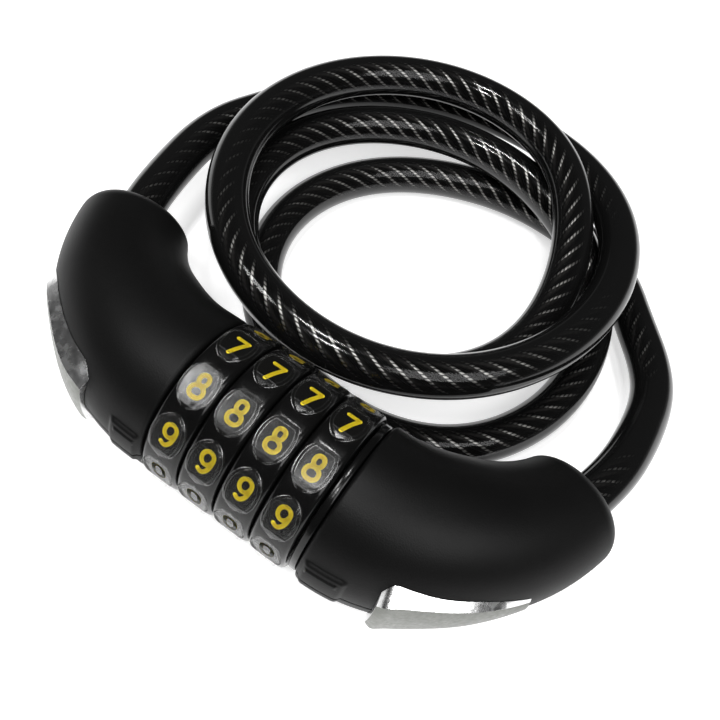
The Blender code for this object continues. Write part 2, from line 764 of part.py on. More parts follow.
def window_pads():
    """Ten oval windows with flat tops, standing out round a dial."""
    shape = bmesh.new()
    depth = WINDOW_TOP_RADIUS - DIAL_CROWN_RADIUS + WINDOW_ROOT
    for i in range(DIGIT_COUNT):
        turn = Matrix.Rotation(math.pi / 2 + 2 * math.pi * i / DIGIT_COUNT, 4, "X")
        lift = Matrix.Translation((0, 0, WINDOW_TOP_RADIUS - depth / 2))
        stretch = Matrix.Diagonal((WINDOW_WIDTH / 2, WINDOW_LENGTH / 2, 1, 1))
        bmesh.ops.create_cone(
            shape,
            cap_ends=True,
            segments=12,
            radius1=1.0,
            radius2=WINDOW_TOP_SHARE,
            depth=depth,
            matrix=turn @ lift @ stretch,
        )
    return object_from_bmesh("window_pads", shape)


def dial_body():
    half = DIAL_WIDTH / 2
    edge = DIAL_CROWN_RADIUS - DIAL_EDGE_DROP
    inner = TUMBLER_RADIUS / 2
    profile = [
        (-half, inner),
        (-half, edge),
        (-half + DIAL_CHAMFER, DIAL_CROWN_RADIUS),
        (half - DIAL_CHAMFER, DIAL_CROWN_RADIUS),
        (half, edge),
        (half, inner),
    ]
    body = turned("number_dial", profile, 40)
    combine(body, window_pads(), "UNION")
    low, high = TUMBLER_RADIUS + CLEARANCE, TUMBLER_RADIUS + TUMBLER_LOBE + CLEARANCE
    bore = prism_x("dial_bore", star_outline(low, high, DIGIT_COUNT), -DIAL_WIDTH, DIAL_WIDTH)
    combine(body, bore, "DIFFERENCE")
    return body


def tumbler_body():
    """A lobed brass ring: fin room on its left, and on its right a notched web with one gate."""
    half = DIAL_WIDTH / 2
    outline = star_outline(TUMBLER_RADIUS, TUMBLER_RADIUS + TUMBLER_LOBE, DIGIT_COUNT)
    body = prism_x("tumbler", outline, -half, half)
    web_start = half - WEB_THICKNESS
    room = rod("fin_room", FIN_ROOM_RADIUS, (-DIAL_WIDTH, 0, 0), (web_start, 0, 0), 24)
    combine(body, room, "DIFFERENCE")
    notches = star_outline(TUMBLER_BORE + CLEARANCE / 2, TUMBLER_BORE + NOTCH_DEPTH, DIGIT_COUNT)
    combine(body, prism_x("tumbler_notches", notches, -DIAL_WIDTH, DIAL_WIDTH), "DIFFERENCE")
    gate_low = (-DIAL_WIDTH, -GATE_WIDTH / 2, 0)
    gate = block("tumbler_gate", gate_low, (DIAL_WIDTH, GATE_WIDTH / 2, FIN_ROOM_RADIUS))
    combine(body, gate, "DIFFERENCE")
    return body


def make_dials(parent):
    dial = applied(dial_body(), "number_dial_1")
    tumbler = applied(tumbler_body(), "tumbler_1")
    for i in range(DIAL_COUNT):
        axis = make_empty(f"dial_axis_{i + 1}", (dial_middle(i), 0, 0), parent)
        for first, material in ((dial, "dial_black"), (tumbler, "brass")):
            piece = first
            if i > 0:
                piece = bpy.data.objects.new(first.name.replace("_1", f"_{i + 1}"), first.data)
                PARTS.objects.link(piece)
            finish_part(piece, material, axis)


# ---- Cable ----


def natural_spline(knots, values, places):
    """Smooth values at the given places, through the values at the knots."""
    knots = np.asarray(knots, float)
    values = np.asarray(values, float)
    count = len(knots)
    gaps = np.diff(knots)
    slopes = np.diff(values, axis=0) / gaps[:, None]
    matrix = np.eye(count)
    right = np.zeros_like(values)
    for i in range(1, count - 1):
        matrix[i, i - 1 : i + 2] = gaps[i - 1], 2 * (gaps[i - 1] + gaps[i]), gaps[i]
        right[i] = 6 * (slopes[i] - slopes[i - 1])
    bends = np.linalg.solve(matrix, right)
    where = np.clip(np.searchsorted(knots, places, side="right") - 1, 0, count - 2)
    gap = gaps[where][:, None]
    before = (np.asarray(places) - knots[where])[:, None]
    after = gap - before
    low, high = bends[where], bends[where + 1]
    curved = (low * after**3 + high * before**3) / (6 * gap)
    return (
        curved
        + (values[where] / gap - low * gap / 6) * after
        + (values[where + 1] / gap - high * gap / 6) * before
    )


def coil_points():
    """The middle of the cable along the coil, with equal steps of the turn's angle."""
    stations = np.array(COIL_STATIONS, float)
    turns = (stations[-1, 0] - stations[0, 0]) / 360
    angles = np.linspace(stations[0, 0], stations[-1, 0], round(turns * POINTS_A_TURN) + 1)
    share, radius, height = natural_spline(stations[:, 0], stations[:, 1:], angles).T
    turn = np.radians(angles)
    centre = np.array(UPPER_CENTRE) + share[:, None] * (np.array(LOWER_CENTRE) - np.array(UPPER_CENTRE))
    x = centre[:, 0] - radius * MM * np.cos(turn)
    y = centre[:, 1] + radius * MM * np.sin(turn)
    z = np.maximum(height * MM, CABLE_RADIUS + LEAST_LIFT) - GROUND
    return np.stack([x, y, z], axis=1)


def unit(vector):
    return vector / np.linalg.norm(vector)


def coil_with_straight_ends():
    """The coil with a straight run of one diameter at each end."""
    points = coil_points()
    first = points[0] + CABLE_STRAIGHT * unit(points[0] - points[1])
    last = points[-1] + CABLE_STRAIGHT * unit(points[-1] - points[-2])
    return np.vstack([first, points, last])


def stretch_points(side, route, coil_end, coil_next):
    """A free stretch from the ferrule, straight out of the mouth, to the coil's straight end."""
    start = mouth_point(side, FERRULE_DEPTH - CLEARANCE)
    out = mouth_point(side, FERRULE_DEPTH - CLEARANCE - CABLE_STRAIGHT)
    middle = [np.array((x * MM, y * MM, z * MM - GROUND)) for x, y, z in route]
    away = unit(coil_end - coil_next)
    last = coil_end + CLEARANCE * away
    knots = np.vstack([start, out, middle, last + away * CABLE_RADIUS, last])
    steps = np.linalg.norm(np.diff(knots, axis=0), axis=1)
    along = np.concatenate([[0.0], np.cumsum(steps)])
    count = round((along[-2] - along[1]) / STRETCH_POINT_SPACING)
    curved = natural_spline(along, knots, np.linspace(along[1], along[-2], count + 1))
    return np.vstack([start, curved, last])


def cable_tube(name, points, resolution, parent):
    curve = bpy.data.curves.new(name, "CURVE")
    curve.dimensions = "3D"
    curve.bevel_depth = CABLE_RADIUS
    curve.bevel_resolution = resolution
    curve.use_fill_caps = True
    spline = curve.splines.new("POLY")
    spline.points.add(len(points) - 1)
    for item, point in zip(spline.points, points):
        item.co = (*point, 1.0)
    curve.materials.append(MATERIALS["cable_sleeve"])
    tube = bpy.data.objects.new(name, curve)
    PARTS.objects.link(tube)
    tube.parent = parent
    return tube


def path_length(points):
    return float(np.linalg.norm(np.diff(points, axis=0), axis=1).sum())


def finely_divided(points, step):
    along = np.concatenate([[0.0], np.cumsum(np.linalg.norm(np.diff(points, axis=0), axis=1))])
    places = np.arange(0.0, along[-1], step)
    return np.stack([np.interp(places, along, points[:, i]) for i in range(3)], axis=1), places


def least_gap(points):
    """Least gap of a tube to itself, between points at least four diameters apart along it."""
    fine, places = finely_divided(points, 1.5 * MM)
    apart = np.linalg.norm(fine[:, None] - fine[None], axis=2)
    apart[np.abs(places[:, None] - places[None]) < 8 * CABLE_RADIUS] = np.inf
    return float(apart.min()) - 2 * CABLE_RADIUS


def make_cable(root, bolt_half):
    coil = coil_with_straight_ends()
    left = stretch_points(-1, LEFT_ROUTE, coil[0], coil[1])
    right = stretch_points(1, RIGHT_ROUTE, coil[-1], coil[-2])
    cable_tube("cable_left_stretch", left, STRETCH_BEVEL_RESOLUTION, root)
    cable_tube("cable_coil", coil, COIL_BEVEL_RESOLUTION, root)
    cable_tube("cable_right_stretch", right, STRETCH_BEVEL_RESOLUTION, bolt_half)
    whole = np.vstack([left, coil, right[::-1]])
    print(f"cable length {path_length(whole):.4f} m, coil {path_length(coil):.4f} m")
    print(f"coil's least gap to itself {least_gap(coil) / MM:.2f} mm, whole cable's {least_gap(whole) / MM:.2f} mm")
    if least_gap(coil) < LEAST_COIL_GAP:
        print("the coil's turns lie too close")


# ---- Assembly ----


def make_empty(name, place, parent=None):
    empty = bpy.data.objects.new(name, None)
    empty.empty_display_size = 0.01
    empty.location = place
    empty.parent = parent
    PARTS.objects.link(empty)
    return empty


def stand_on_origin(root):
    """Moves the lock, and its cutters, until the body without the cable stands centred on the origin."""
    for cutter in CUTTERS.objects:
        cutter.parent = root
    bpy.context.view_layer.update()
    graph = bpy.context.evaluated_depsgraph_get()
    corners = []
    for obj in PARTS.objects:
        if obj.type != "MESH":
            continue
        evaluated = obj.evaluated_get(graph)
        corners += [evaluated.matrix_world @ vertex.co for vertex in evaluated.data.vertices]
    corners = np.array(corners)
    low, high = corners.min(axis=0), corners.max(axis=0)
    root.location = (-(low[0] + high[0]) / 2, -(low[1] + high[1]) / 2, -low[2])
    print("dial axis passes through", [round(value, 6) for value in root.location])
    print("body size", [round(value, 5) for value in high - low])


def main():
    root = make_empty("dial_half", (0, 0, 0))
    bolt_half = make_empty("bolt_half", (RIGHT_FACE, 0, 0), root)
    bolt_half.matrix_parent_inverse = Matrix.Translation((-RIGHT_FACE, 0, 0))
    for side, parent in ((-1, root), (1, bolt_half)):
        for up in (1, -1):
            make_shell(side, up, "shell_black", parent)
        make_grip(side, parent)
        make_ferrule(side, parent)
    make_core(-1, SLEEVE_RADIUS + CLEARANCE, SLEEVE_ROOT - END_WALL, SLEEVE_PIN_SETBACK, root)
    make_core(1, BOLT_RADIUS + CLEARANCE, BOLT_ROOT - END_WALL, BOLT_PIN_SETBACK, bolt_half)
    make_sleeve(root)
    make_detent_strip(root)
    make_end_collar(root)
    make_thrust_washer(root)
    make_circlip(root)
    make_bolt(bolt_half)
    make_dials(root)
    make_cable(root, bolt_half)
    stand_on_origin(root)


main()
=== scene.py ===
"""Combination cable lock: the looks of its pieces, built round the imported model.

The lock lies flat. X runs along the dial axis from the dial half to the bolt half, -Y is the outer
curve with the index marks, and +Z is up. The sections follow the lock as it is put together.
"""

import math

import bmesh
import bpy
import numpy as np
from mathutils import Matrix, Vector


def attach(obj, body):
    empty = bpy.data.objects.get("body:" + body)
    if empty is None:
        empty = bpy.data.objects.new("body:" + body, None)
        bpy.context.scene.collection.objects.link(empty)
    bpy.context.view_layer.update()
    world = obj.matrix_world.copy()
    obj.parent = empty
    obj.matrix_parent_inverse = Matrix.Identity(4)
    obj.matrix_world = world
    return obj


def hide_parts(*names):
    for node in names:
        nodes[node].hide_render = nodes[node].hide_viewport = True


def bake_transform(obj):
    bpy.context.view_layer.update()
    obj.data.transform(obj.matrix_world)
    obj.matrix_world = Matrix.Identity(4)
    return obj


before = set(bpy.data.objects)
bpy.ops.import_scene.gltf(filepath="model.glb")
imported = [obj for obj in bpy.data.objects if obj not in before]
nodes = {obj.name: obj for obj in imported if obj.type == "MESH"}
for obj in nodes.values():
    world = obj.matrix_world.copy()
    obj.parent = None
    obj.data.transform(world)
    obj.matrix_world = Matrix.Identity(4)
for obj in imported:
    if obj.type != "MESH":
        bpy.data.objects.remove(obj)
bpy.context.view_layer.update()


# ---- Camera ----
# A 40 mm lens stands above the dials, turned a little to the right and tilted to the left, so that the
# body lies across the picture from the upper left to the lower right.

CAMERA_PLACE = (0.037277, -0.081364, 0.199676)
CAMERA_AZIMUTH = math.radians(17.4)
CAMERA_HEIGHT_ANGLE = math.radians(57.5)
CAMERA_TILT = math.radians(19.2)

camera_data = bpy.data.cameras.new("camera")
camera_data.lens = 40
camera_data.sensor_width = 36
camera_data.clip_start = 0.01
camera = bpy.data.objects.new("camera", camera_data)
bpy.context.scene.collection.objects.link(camera)
aim = Matrix.Rotation(CAMERA_AZIMUTH, 4, "Z") @ Matrix.Rotation(math.pi / 2 - CAMERA_HEIGHT_ANGLE, 4, "X")
aim = aim @ Matrix.Rotation(CAMERA_TILT, 4, "Z")
camera.matrix_world = Matrix.Translation(CAMERA_PLACE) @ aim
bpy.context.scene.camera = camera


# ---- Cable sleeve ----
# The sleeve is one long tube of smoke-dark clear vinyl, extruded over the steel rope. It runs out of
# the dial half, winds in about three and a half loops, and ends in the bolt half.

MM = 0.001
AXIS_PLACE = Vector((-0.000886, -0.007828, 0.022429))
LEFT_FACE = -21.1 * MM
RIGHT_FACE = 23.4 * MM
BEND_ANGLE = math.radians(72)
LEFT_BEND_RADIUS = 43.6 * MM
RIGHT_BEND_RADIUS = 48.9 * MM
LEFT_LEAD = 6.2 * MM
RIGHT_LEAD = 0.6 * MM
TAIL = 0.5 * MM
CABLE_RADIUS = 6.0 * MM
CABLE_LENGTH = 1.3054
CABLE_STRAIGHT = 12.0 * MM
FERRULE_DEPTH = 4.0 * MM
CABLE_GAP = 0.3 * MM
CABLE_STEP = 1.2 * MM
COIL_STEP = 5.0
ROUTE_STEP = 4.0 * MM
SLEEVE_SIDES = 32

# The coil and the free stretches in millimetres. A station of the coil gives its turn in degrees, the
# share of the way from the upper to the lower centre, the radius and the height.
UPPER_CENTRE = np.array((-7.0, 83.0))
LOWER_CENTRE = np.array((6.0, 79.0))
LEAST_HEIGHT = 6.1
COIL_STATIONS = (
    (17, 0.00, 63.7, 20.0),
    (42, 0.00, 63.4, 19.3),
    (90, 0.00, 64.4, 20.4),
    (115, 0.00, 64.5, 23.3),
    (138, 0.00, 62.1, 26.8),
    (180, 0.00, 55.6, 29.4),
    (225, 0.00, 53.6, 29.1),
    (270, 0.00, 55.0, 29.15),
    (298, 0.00, 56.4, 30.7),
    (320, 0.00, 56.4, 31.2),
    (405, 0.00, 56.0, 31.4),
    (450, 0.00, 55.0, 31.4),
    (480, 0.00, 50.8, 30.6),
    (500, 0.00, 47.2, 27.8),
    (540, 0.00, 45.0, 20.4),
    (585, 0.00, 47.0, 18.0),
    (630, 0.00, 49.1, 18.1),
    (655, 0.00, 51.7, 18.75),
    (683, 0.00, 52.9, 18.8),
    (720, 0.10, 52.4, 18.9),
    (765, 0.30, 50.4, 18.9),
    (810, 0.60, 49.6, 18.9),
    (846, 0.85, 49.4, 16.1),
    (900, 1.00, 49.0, 8.6),
    (930, 1.00, 49.8, 6.4),
    (960, 1.00, 51.6, 6.15),
    (990, 1.00, 52.2, 6.15),
    (1061, 1.00, 52.8, 6.15),
    (1120, 1.00, 49.2, 6.15),
    (1150, 1.00, 49.8, 6.15),
    (1172, 1.00, 53.2, 6.15),
    (1192, 1.00, 57.6, 6.6),
    (1210, 1.00, 61.2, 8.2),
    (1227, 1.00, 62.0, 10.4),
)
LEFT_ROUTE = ((-73.4, 46.0, 22.0), (-75.7, 57.5, 21.1), (-76.8, 69.1, 20.7), (-75.6, 80.0, 20.6))
RIGHT_ROUTE = ((75.2, 51.0, 21.7), (76.3, 60.9, 19.9), (76.6, 71.5, 17.5), (74.5, 86.7, 14.5))


def lead_and_bend(side):
    """Straight lead and bend radius of a half."""
    return (LEFT_LEAD, LEFT_BEND_RADIUS) if side < 0 else (RIGHT_LEAD, RIGHT_BEND_RADIUS)


def half_length(side):
    lead, bend = lead_and_bend(side)
    return lead + bend * BEND_ANGLE + TAIL


def half_point(side, distance, radial=0.0, height=0.0):
    """A point of a curved half: distance along its middle line, then outwards and up."""
    lead, bend = lead_and_bend(side)
    face = LEFT_FACE if side < 0 else RIGHT_FACE
    turn = min(max(distance - lead, 0.0) / bend, BEND_ANGLE)
    past = max(distance - lead - bend * BEND_ANGLE, 0.0)
    x = min(distance, lead) + bend * math.sin(turn) + past * math.cos(turn)
    y = bend * (1 - math.cos(turn)) + past * math.sin(turn)
    outward = np.array((side * math.sin(turn), -math.cos(turn), 0.0))
    return np.array((face + side * x, y, height)) + outward * radial + np.array(AXIS_PLACE)


def mouth_point(side, depth):
    """A point on the straight line through the middle of a mouth, at a depth inside it."""
    end = half_point(side, half_length(side))
    ahead = half_point(side, half_length(side) + MM)
    return end - (ahead - end) * depth / MM


def smooth_line(knots, values, places):
    """Values at the given places on the natural cubic spline through the values at the knots."""
    count = len(knots)
    gaps = np.diff(knots)
    slopes = np.diff(values, axis=0) / gaps[:, None]
    matrix = np.eye(count)
    right = np.zeros_like(values)
    for i in range(1, count - 1):
        matrix[i, i - 1 : i + 2] = gaps[i - 1], 2 * (gaps[i - 1] + gaps[i]), gaps[i]
        right[i] = 6 * (slopes[i] - slopes[i - 1])
    bends = np.linalg.solve(matrix, right)
    where = np.clip(np.searchsorted(knots, places, side="right") - 1, 0, count - 2)
    gap = gaps[where][:, None]
    before = (np.asarray(places) - knots[where])[:, None]
    after = gap - before
    low, high = bends[where], bends[where + 1]
    curved = (low * after**3 + high * before**3) / (6 * gap)
    near = (values[where] / gap - low * gap / 6) * after
    return curved + near + (values[where + 1] / gap - high * gap / 6) * before


def chords(points):
    return np.concatenate([[0.0], np.cumsum(np.linalg.norm(np.diff(points, axis=0), axis=1))])


def coil_line():
    """The middle of the cable along the coil, with a straight run of one diameter at each end."""
    stations = np.array(COIL_STATIONS)
    angles = np.arange(stations[0, 0], stations[-1, 0] + 0.1, COIL_STEP)
    share, radius, height = smooth_line(stations[:, 0], stations[:, 1:], angles).T
    turn = np.radians(angles)
    centre = UPPER_CENTRE + share[:, None] * (LOWER_CENTRE - UPPER_CENTRE)
    x = centre[:, 0] - radius * np.cos(turn)
    y = centre[:, 1] + radius * np.sin(turn)
    points = np.stack([x, y, np.maximum(height, LEAST_HEIGHT)], axis=1) * MM
    points += (AXIS_PLACE.x, AXIS_PLACE.y, 0)
    first, last = points[0] - points[1], points[-1] - points[-2]
    first = points[0] + CABLE_STRAIGHT * first / np.linalg.norm(first)
    last = points[-1] + CABLE_STRAIGHT * last / np.linalg.norm(last)
    return np.vstack([first, points, last])


def free_line(side, route, end, following):
    """A free stretch of cable from inside a half, straight out of its mouth, to the coil."""
    middle = np.array(route) * MM + (AXIS_PLACE.x, AXIS_PLACE.y, 0)
    away = (end - following) / np.linalg.norm(end - following)
    inside = mouth_point(side, FERRULE_DEPTH - CABLE_GAP)
    out = mouth_point(side, FERRULE_DEPTH - CABLE_GAP - CABLE_STRAIGHT)
    last = end + away * CABLE_GAP
    knots = np.vstack([inside, out, middle, last + away * CABLE_RADIUS, last])
    along = chords(knots)
    steps = round((along[-2] - along[1]) / ROUTE_STEP)
    places = np.linspace(along[1], along[-2], steps + 1)
    return np.vstack([inside, smooth_line(along, knots, places)])


coil = coil_line()
left_line = free_line(-1, LEFT_ROUTE, coil[0], coil[1])
right_line = free_line(1, RIGHT_ROUTE, coil[-1], coil[-2])
cable_line = np.vstack([left_line, coil, right_line[::-1]])
along = chords(cable_line)
cable_line = smooth_line(along, cable_line, np.linspace(0, along[-1], round(CABLE_LENGTH / CABLE_STEP)))


def mesh_object(name, points, faces=(), edges=()):
    mesh = bpy.data.meshes.new(name)
    mesh.from_pydata([tuple(point) for point in points], list(edges), list(faces))
    obj = bpy.data.objects.new(name, mesh)
    bpy.context.scene.collection.objects.link(obj)
    return obj


def node_tree(name, sizes):
    """A Geometry Nodes tree with one geometry in and out, and a named input for each size."""
    tree = bpy.data.node_groups.new(name, "GeometryNodeTree")
    tree.interface.new_socket("Geometry", in_out="INPUT", socket_type="NodeSocketGeometry")
    for size, kind in sizes.items():
        tree.interface.new_socket(size, in_out="INPUT", socket_type=kind)
    tree.interface.new_socket("Geometry", in_out="OUTPUT", socket_type="NodeSocketGeometry")
    return tree, tree.nodes.new("NodeGroupInput"), tree.nodes.new("NodeGroupOutput")


def add_node(tree, kind, inputs=(), **settings):
    """A node with its settings, and its inputs as sockets to link or as plain values."""
    node = tree.nodes.new(kind)
    for setting, value in settings.items():
        setattr(node, setting, value)
    for socket, value in dict(inputs).items():
        if isinstance(value, bpy.types.NodeSocket):
            tree.links.new(value, node.inputs[socket])
        else:
            node.inputs[socket].default_value = value
    return node


def add_math(tree, operation, *values):
    """The result of a Math node on sockets or plain values."""
    return add_node(tree, "ShaderNodeMath", dict(enumerate(values)), operation=operation).outputs[0]


def real_mesh(tree, geometry, given):
    """The geometry as one real mesh in the given material."""
    real = add_node(tree, "GeometryNodeRealizeInstances", {"Geometry": geometry}).outputs["Geometry"]
    dressed = {"Geometry": real, "Material": given.outputs["Material"]}
    return add_node(tree, "GeometryNodeSetMaterial", dressed).outputs["Geometry"]


def run_tree(obj, tree, values):
    """Runs a tree on an object and returns the result as a plain mesh on the same object."""
    modifier = obj.modifiers.new(tree.name, "NODES")
    modifier.node_group = tree
    for item in tree.interface.items_tree:
        if item.item_type == "SOCKET" and item.in_out == "INPUT" and item.name in values:
            modifier[item.identifier] = values[item.name]
    bpy.context.view_layer.update()
    evaluated = obj.evaluated_get(bpy.context.evaluated_depsgraph_get())
    mesh = bpy.data.meshes.new_from_object(evaluated)
    obj.modifiers.remove(modifier)
    obj.data = mesh
    return obj


def new_material(name, colour, roughness, metallic=0.0):
    material = bpy.data.materials.new(name)
    material.use_nodes = True
    shader = material.node_tree.nodes["Principled BSDF"]
    shader.inputs["Base Color"].default_value = (*colour, 1.0)
    shader.inputs["Roughness"].default_value = roughness
    shader.inputs["Metallic"].default_value = metallic
    return material, material.node_tree, shader


def object_noise(tree, scale, detail=2.0):
    """Noise in the piece's own coordinates, with scale in waves for each metre."""
    place = add_node(tree, "ShaderNodeTexCoord")
    wave = {"Vector": place.outputs["Object"], "Scale": scale, "Detail": detail}
    return add_node(tree, "ShaderNodeTexNoise", wave).outputs["Fac"]


def spread(tree, value, low, high, from_low=0.3, from_high=0.7):
    """The value stretched from one range to another."""
    ranges = {"Value": value, "From Min": from_low, "From Max": from_high, "To Min": low, "To Max": high}
    return add_node(tree, "ShaderNodeMapRange", ranges).outputs["Result"]


def add_bump(tree, shader, height, distance, strength=1.0):
    bump = add_node(tree, "ShaderNodeBump", {"Height": height, "Distance": distance, "Strength": strength})
    tree.links.new(bump.outputs["Normal"], shader.inputs["Normal"])


def mixed_colour(tree, share, first, second):
    mix = add_node(tree, "ShaderNodeMix", {"Factor": share}, data_type="RGBA")
    mix.inputs["A"].default_value = (*first, 1.0)
    mix.inputs["B"].default_value = (*second, 1.0)
    return mix.outputs["Result"]


smoke_vinyl, tree, shader = new_material("smoke_vinyl", (0.005, 0.005, 0.005), 0.07)
facing = add_node(tree, "ShaderNodeLayerWeight", {"Blend": 0.5}).outputs["Facing"]
tree.links.new(spread(tree, facing, 0.46, 1.0, 0.1, 0.32), shader.inputs["Alpha"])
tree.links.new(spread(tree, object_noise(tree, 60), 0.08, 0.14), shader.inputs["Roughness"])
add_bump(tree, shader, object_noise(tree, 60), 0.00004)
shader.inputs["IOR"].default_value = 1.45

tree, given, result = node_tree(
    "tube_along_a_line",
    {"Radius": "NodeSocketFloat", "Sides": "NodeSocketInt", "Material": "NodeSocketMaterial"},
)
line = add_node(tree, "GeometryNodeMeshToCurve", {"Mesh": given.outputs["Geometry"]})
ring = add_node(
    tree,
    "GeometryNodeCurvePrimitiveCircle",
    {"Radius": given.outputs["Radius"], "Resolution": given.outputs["Sides"]},
)
tube = add_node(
    tree,
    "GeometryNodeCurveToMesh",
    {"Curve": line.outputs["Curve"], "Profile Curve": ring.outputs["Curve"], "Fill Caps": True},
)
smooth = add_node(tree, "GeometryNodeSetShadeSmooth", {"Geometry": tube.outputs["Mesh"]})
tree.links.new(real_mesh(tree, smooth.outputs["Geometry"], given), result.inputs["Geometry"])


def line_object(name, points):
    return mesh_object(name, points, edges=[(i, i + 1) for i in range(len(points) - 1)])


cable_sleeve = line_object("cable_sleeve", cable_line)
run_tree(cable_sleeve, tree, {"Radius": CABLE_RADIUS, "Sides": SLEEVE_SIDES, "Material": smoke_vinyl})


# ---- Steel rope in the sleeve ----
# Six strands of bright wire are laid round a core in a right-hand lay. The wires come up on the crest of
# each strand; a painted highlight there draws them as short bright dashes, and painted shade darkens the
# gaps between the wires, the strand sides and the core.

ROPE_STRANDS = 6
ROPE_LAY = 33.0 * MM
STRAND_RADIUS = 1.45 * MM
STRAND_REACH = 2.95 * MM
STRAND_SIDES = 14
CORE_RADIUS = 2.0 * MM
CORE_SIDES = 8
WIRE_PITCH = 1.05 * MM
WIRE_SLANT = 8.0

rope_wire, tree, shader = new_material("rope_wire", (0.3, 0.3, 0.3), 0.4, 1.0)
along = add_node(tree, "ShaderNodeAttribute", attribute_name="along").outputs["Fac"]
around = add_node(tree, "ShaderNodeAttribute", attribute_name="around").outputs["Fac"]
slanted = add_math(tree, "MULTIPLY", around, WIRE_SLANT)
turns = add_math(tree, "MULTIPLY_ADD", along, 1 / WIRE_PITCH, slanted)
wave = add_math(tree, "SINE", add_math(tree, "MULTIPLY", turns, math.pi))
wire = add_math(tree, "ABSOLUTE", wave)
# Painted highlight: the colour is bright only along each strand's crest, broken into dashes by painted
# shade between the wires.
painted_crest_mask = add_math(tree, "ABSOLUTE", add_math(tree, "SUBTRACT", around, 0.5))
painted_crest_mask = spread(tree, painted_crest_mask, 1.0, 0.0, 0.022, 0.05)
painted_glint_and_shade = add_math(tree, "MULTIPLY", painted_crest_mask, spread(tree, wire, 0.1, 1.0, 0.45, 0.75))
# Painted shade: off the crest, the strand sides and the core take the near-black colour.
tree.links.new(
    mixed_colour(tree, painted_glint_and_shade, (0.02, 0.019, 0.018), (0.97, 0.95, 0.91)), shader.inputs["Base Color"]
)
tree.links.new(spread(tree, object_noise(tree, 900), 0.32, 0.5), shader.inputs["Roughness"])
add_bump(tree, shader, wire, 0.00004)

tree, given, result = node_tree(
    "laid_rope",
    {
        "Strands": "NodeSocketInt",
        "Lay": "NodeSocketFloat",
        "Reach": "NodeSocketFloat",
        "Strand Radius": "NodeSocketFloat",
        "Core Radius": "NodeSocketFloat",
        "Sides": "NodeSocketInt",
        "Material": "NodeSocketMaterial",
    },
)
line = add_node(tree, "GeometryNodeMeshToCurve", {"Mesh": given.outputs["Geometry"]}).outputs["Curve"]
length = add_node(tree, "GeometryNodeSplineParameter").outputs["Length"]
line = add_node(
    tree, "GeometryNodeStoreNamedAttribute", {"Geometry": line, "Name": "along", "Value": length}
).outputs["Geometry"]
copies = add_node(
    tree,
    "GeometryNodeDuplicateElements",
    {"Geometry": line, "Amount": given.outputs["Strands"]},
    domain="SPLINE",
)
strand_share = add_math(tree, "DIVIDE", copies.outputs["Duplicate Index"], given.outputs["Strands"])
lay_share = add_math(tree, "DIVIDE", length, given.outputs["Lay"])
angle = add_math(tree, "MULTIPLY", add_math(tree, "ADD", lay_share, strand_share), 2 * math.pi)
outward = add_node(tree, "GeometryNodeInputNormal").outputs["Normal"]
tangent = add_node(tree, "GeometryNodeInputTangent").outputs["Tangent"]
outward = add_node(
    tree,
    "ShaderNodeVectorRotate",
    {"Vector": outward, "Axis": tangent, "Angle": angle},
    rotation_type="AXIS_ANGLE",
).outputs["Vector"]
held = add_node(
    tree, "GeometryNodeCaptureAttribute", {"Geometry": copies.outputs["Geometry"]}, domain="POINT"
)
held.capture_items.new("VECTOR", "Outward")
tree.links.new(outward, held.inputs["Outward"])
offset = add_node(
    tree,
    "ShaderNodeVectorMath",
    {0: held.outputs["Outward"], "Scale": given.outputs["Reach"]},
    operation="SCALE",
).outputs["Vector"]
moved = add_node(
    tree, "GeometryNodeSetPosition", {"Geometry": held.outputs["Geometry"], "Offset": offset}
).outputs["Geometry"]
faced = add_node(
    tree, "GeometryNodeSetCurveNormal", {"Curve": moved, "Normal": held.outputs["Outward"]}, mode="FREE"
).outputs["Curve"]
ring = add_node(
    tree,
    "GeometryNodeCurvePrimitiveCircle",
    {"Radius": given.outputs["Strand Radius"], "Resolution": given.outputs["Sides"]},
).outputs["Curve"]
factor = add_node(tree, "GeometryNodeSplineParameter").outputs["Factor"]
ring = add_node(
    tree, "GeometryNodeStoreNamedAttribute", {"Geometry": ring, "Name": "around", "Value": factor}
).outputs["Geometry"]
ring = add_node(
    tree, "GeometryNodeTransform", {"Geometry": ring, "Rotation": (0.0, 0.0, math.pi)}
).outputs["Geometry"]
strands = add_node(
    tree, "GeometryNodeCurveToMesh", {"Curve": faced, "Profile Curve": ring, "Fill Caps": True}
).outputs["Mesh"]
core_ring = add_node(
    tree,
    "GeometryNodeCurvePrimitiveCircle",
    {"Radius": given.outputs["Core Radius"], "Resolution": CORE_SIDES},
).outputs["Curve"]
core = add_node(
    tree, "GeometryNodeCurveToMesh", {"Curve": line, "Profile Curve": core_ring, "Fill Caps": True}
).outputs["Mesh"]
joined = add_node(tree, "GeometryNodeJoinGeometry")
tree.links.new(core, joined.inputs[0])
tree.links.new(strands, joined.inputs[0])
smooth = add_node(tree, "GeometryNodeSetShadeSmooth", {"Geometry": joined.outputs["Geometry"]})
tree.links.new(real_mesh(tree, smooth.outputs["Geometry"], given), result.inputs["Geometry"])

steel_rope = line_object("steel_rope", cable_line)
run_tree(
    steel_rope,
    tree,
    {
        "Strands": ROPE_STRANDS,
        "Lay": ROPE_LAY,
        "Reach": STRAND_REACH,
        "Strand Radius": STRAND_RADIUS,
        "Core Radius": CORE_RADIUS,
        "Sides": STRAND_SIDES,
        "Material": rope_wire,
    },
)
for piece in (cable_sleeve, steel_rope):
    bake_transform(piece)
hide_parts("cable_left_stretch", "cable_coil", "cable_right_stretch")


# ---- Cores, ferrules and lock mechanism ----
# Die-cast zinc cores, turned steel pins, bolt and sleeve, and brass tumblers. They sit inside the
# halves and the dials, and show only where the lock is pulled apart.

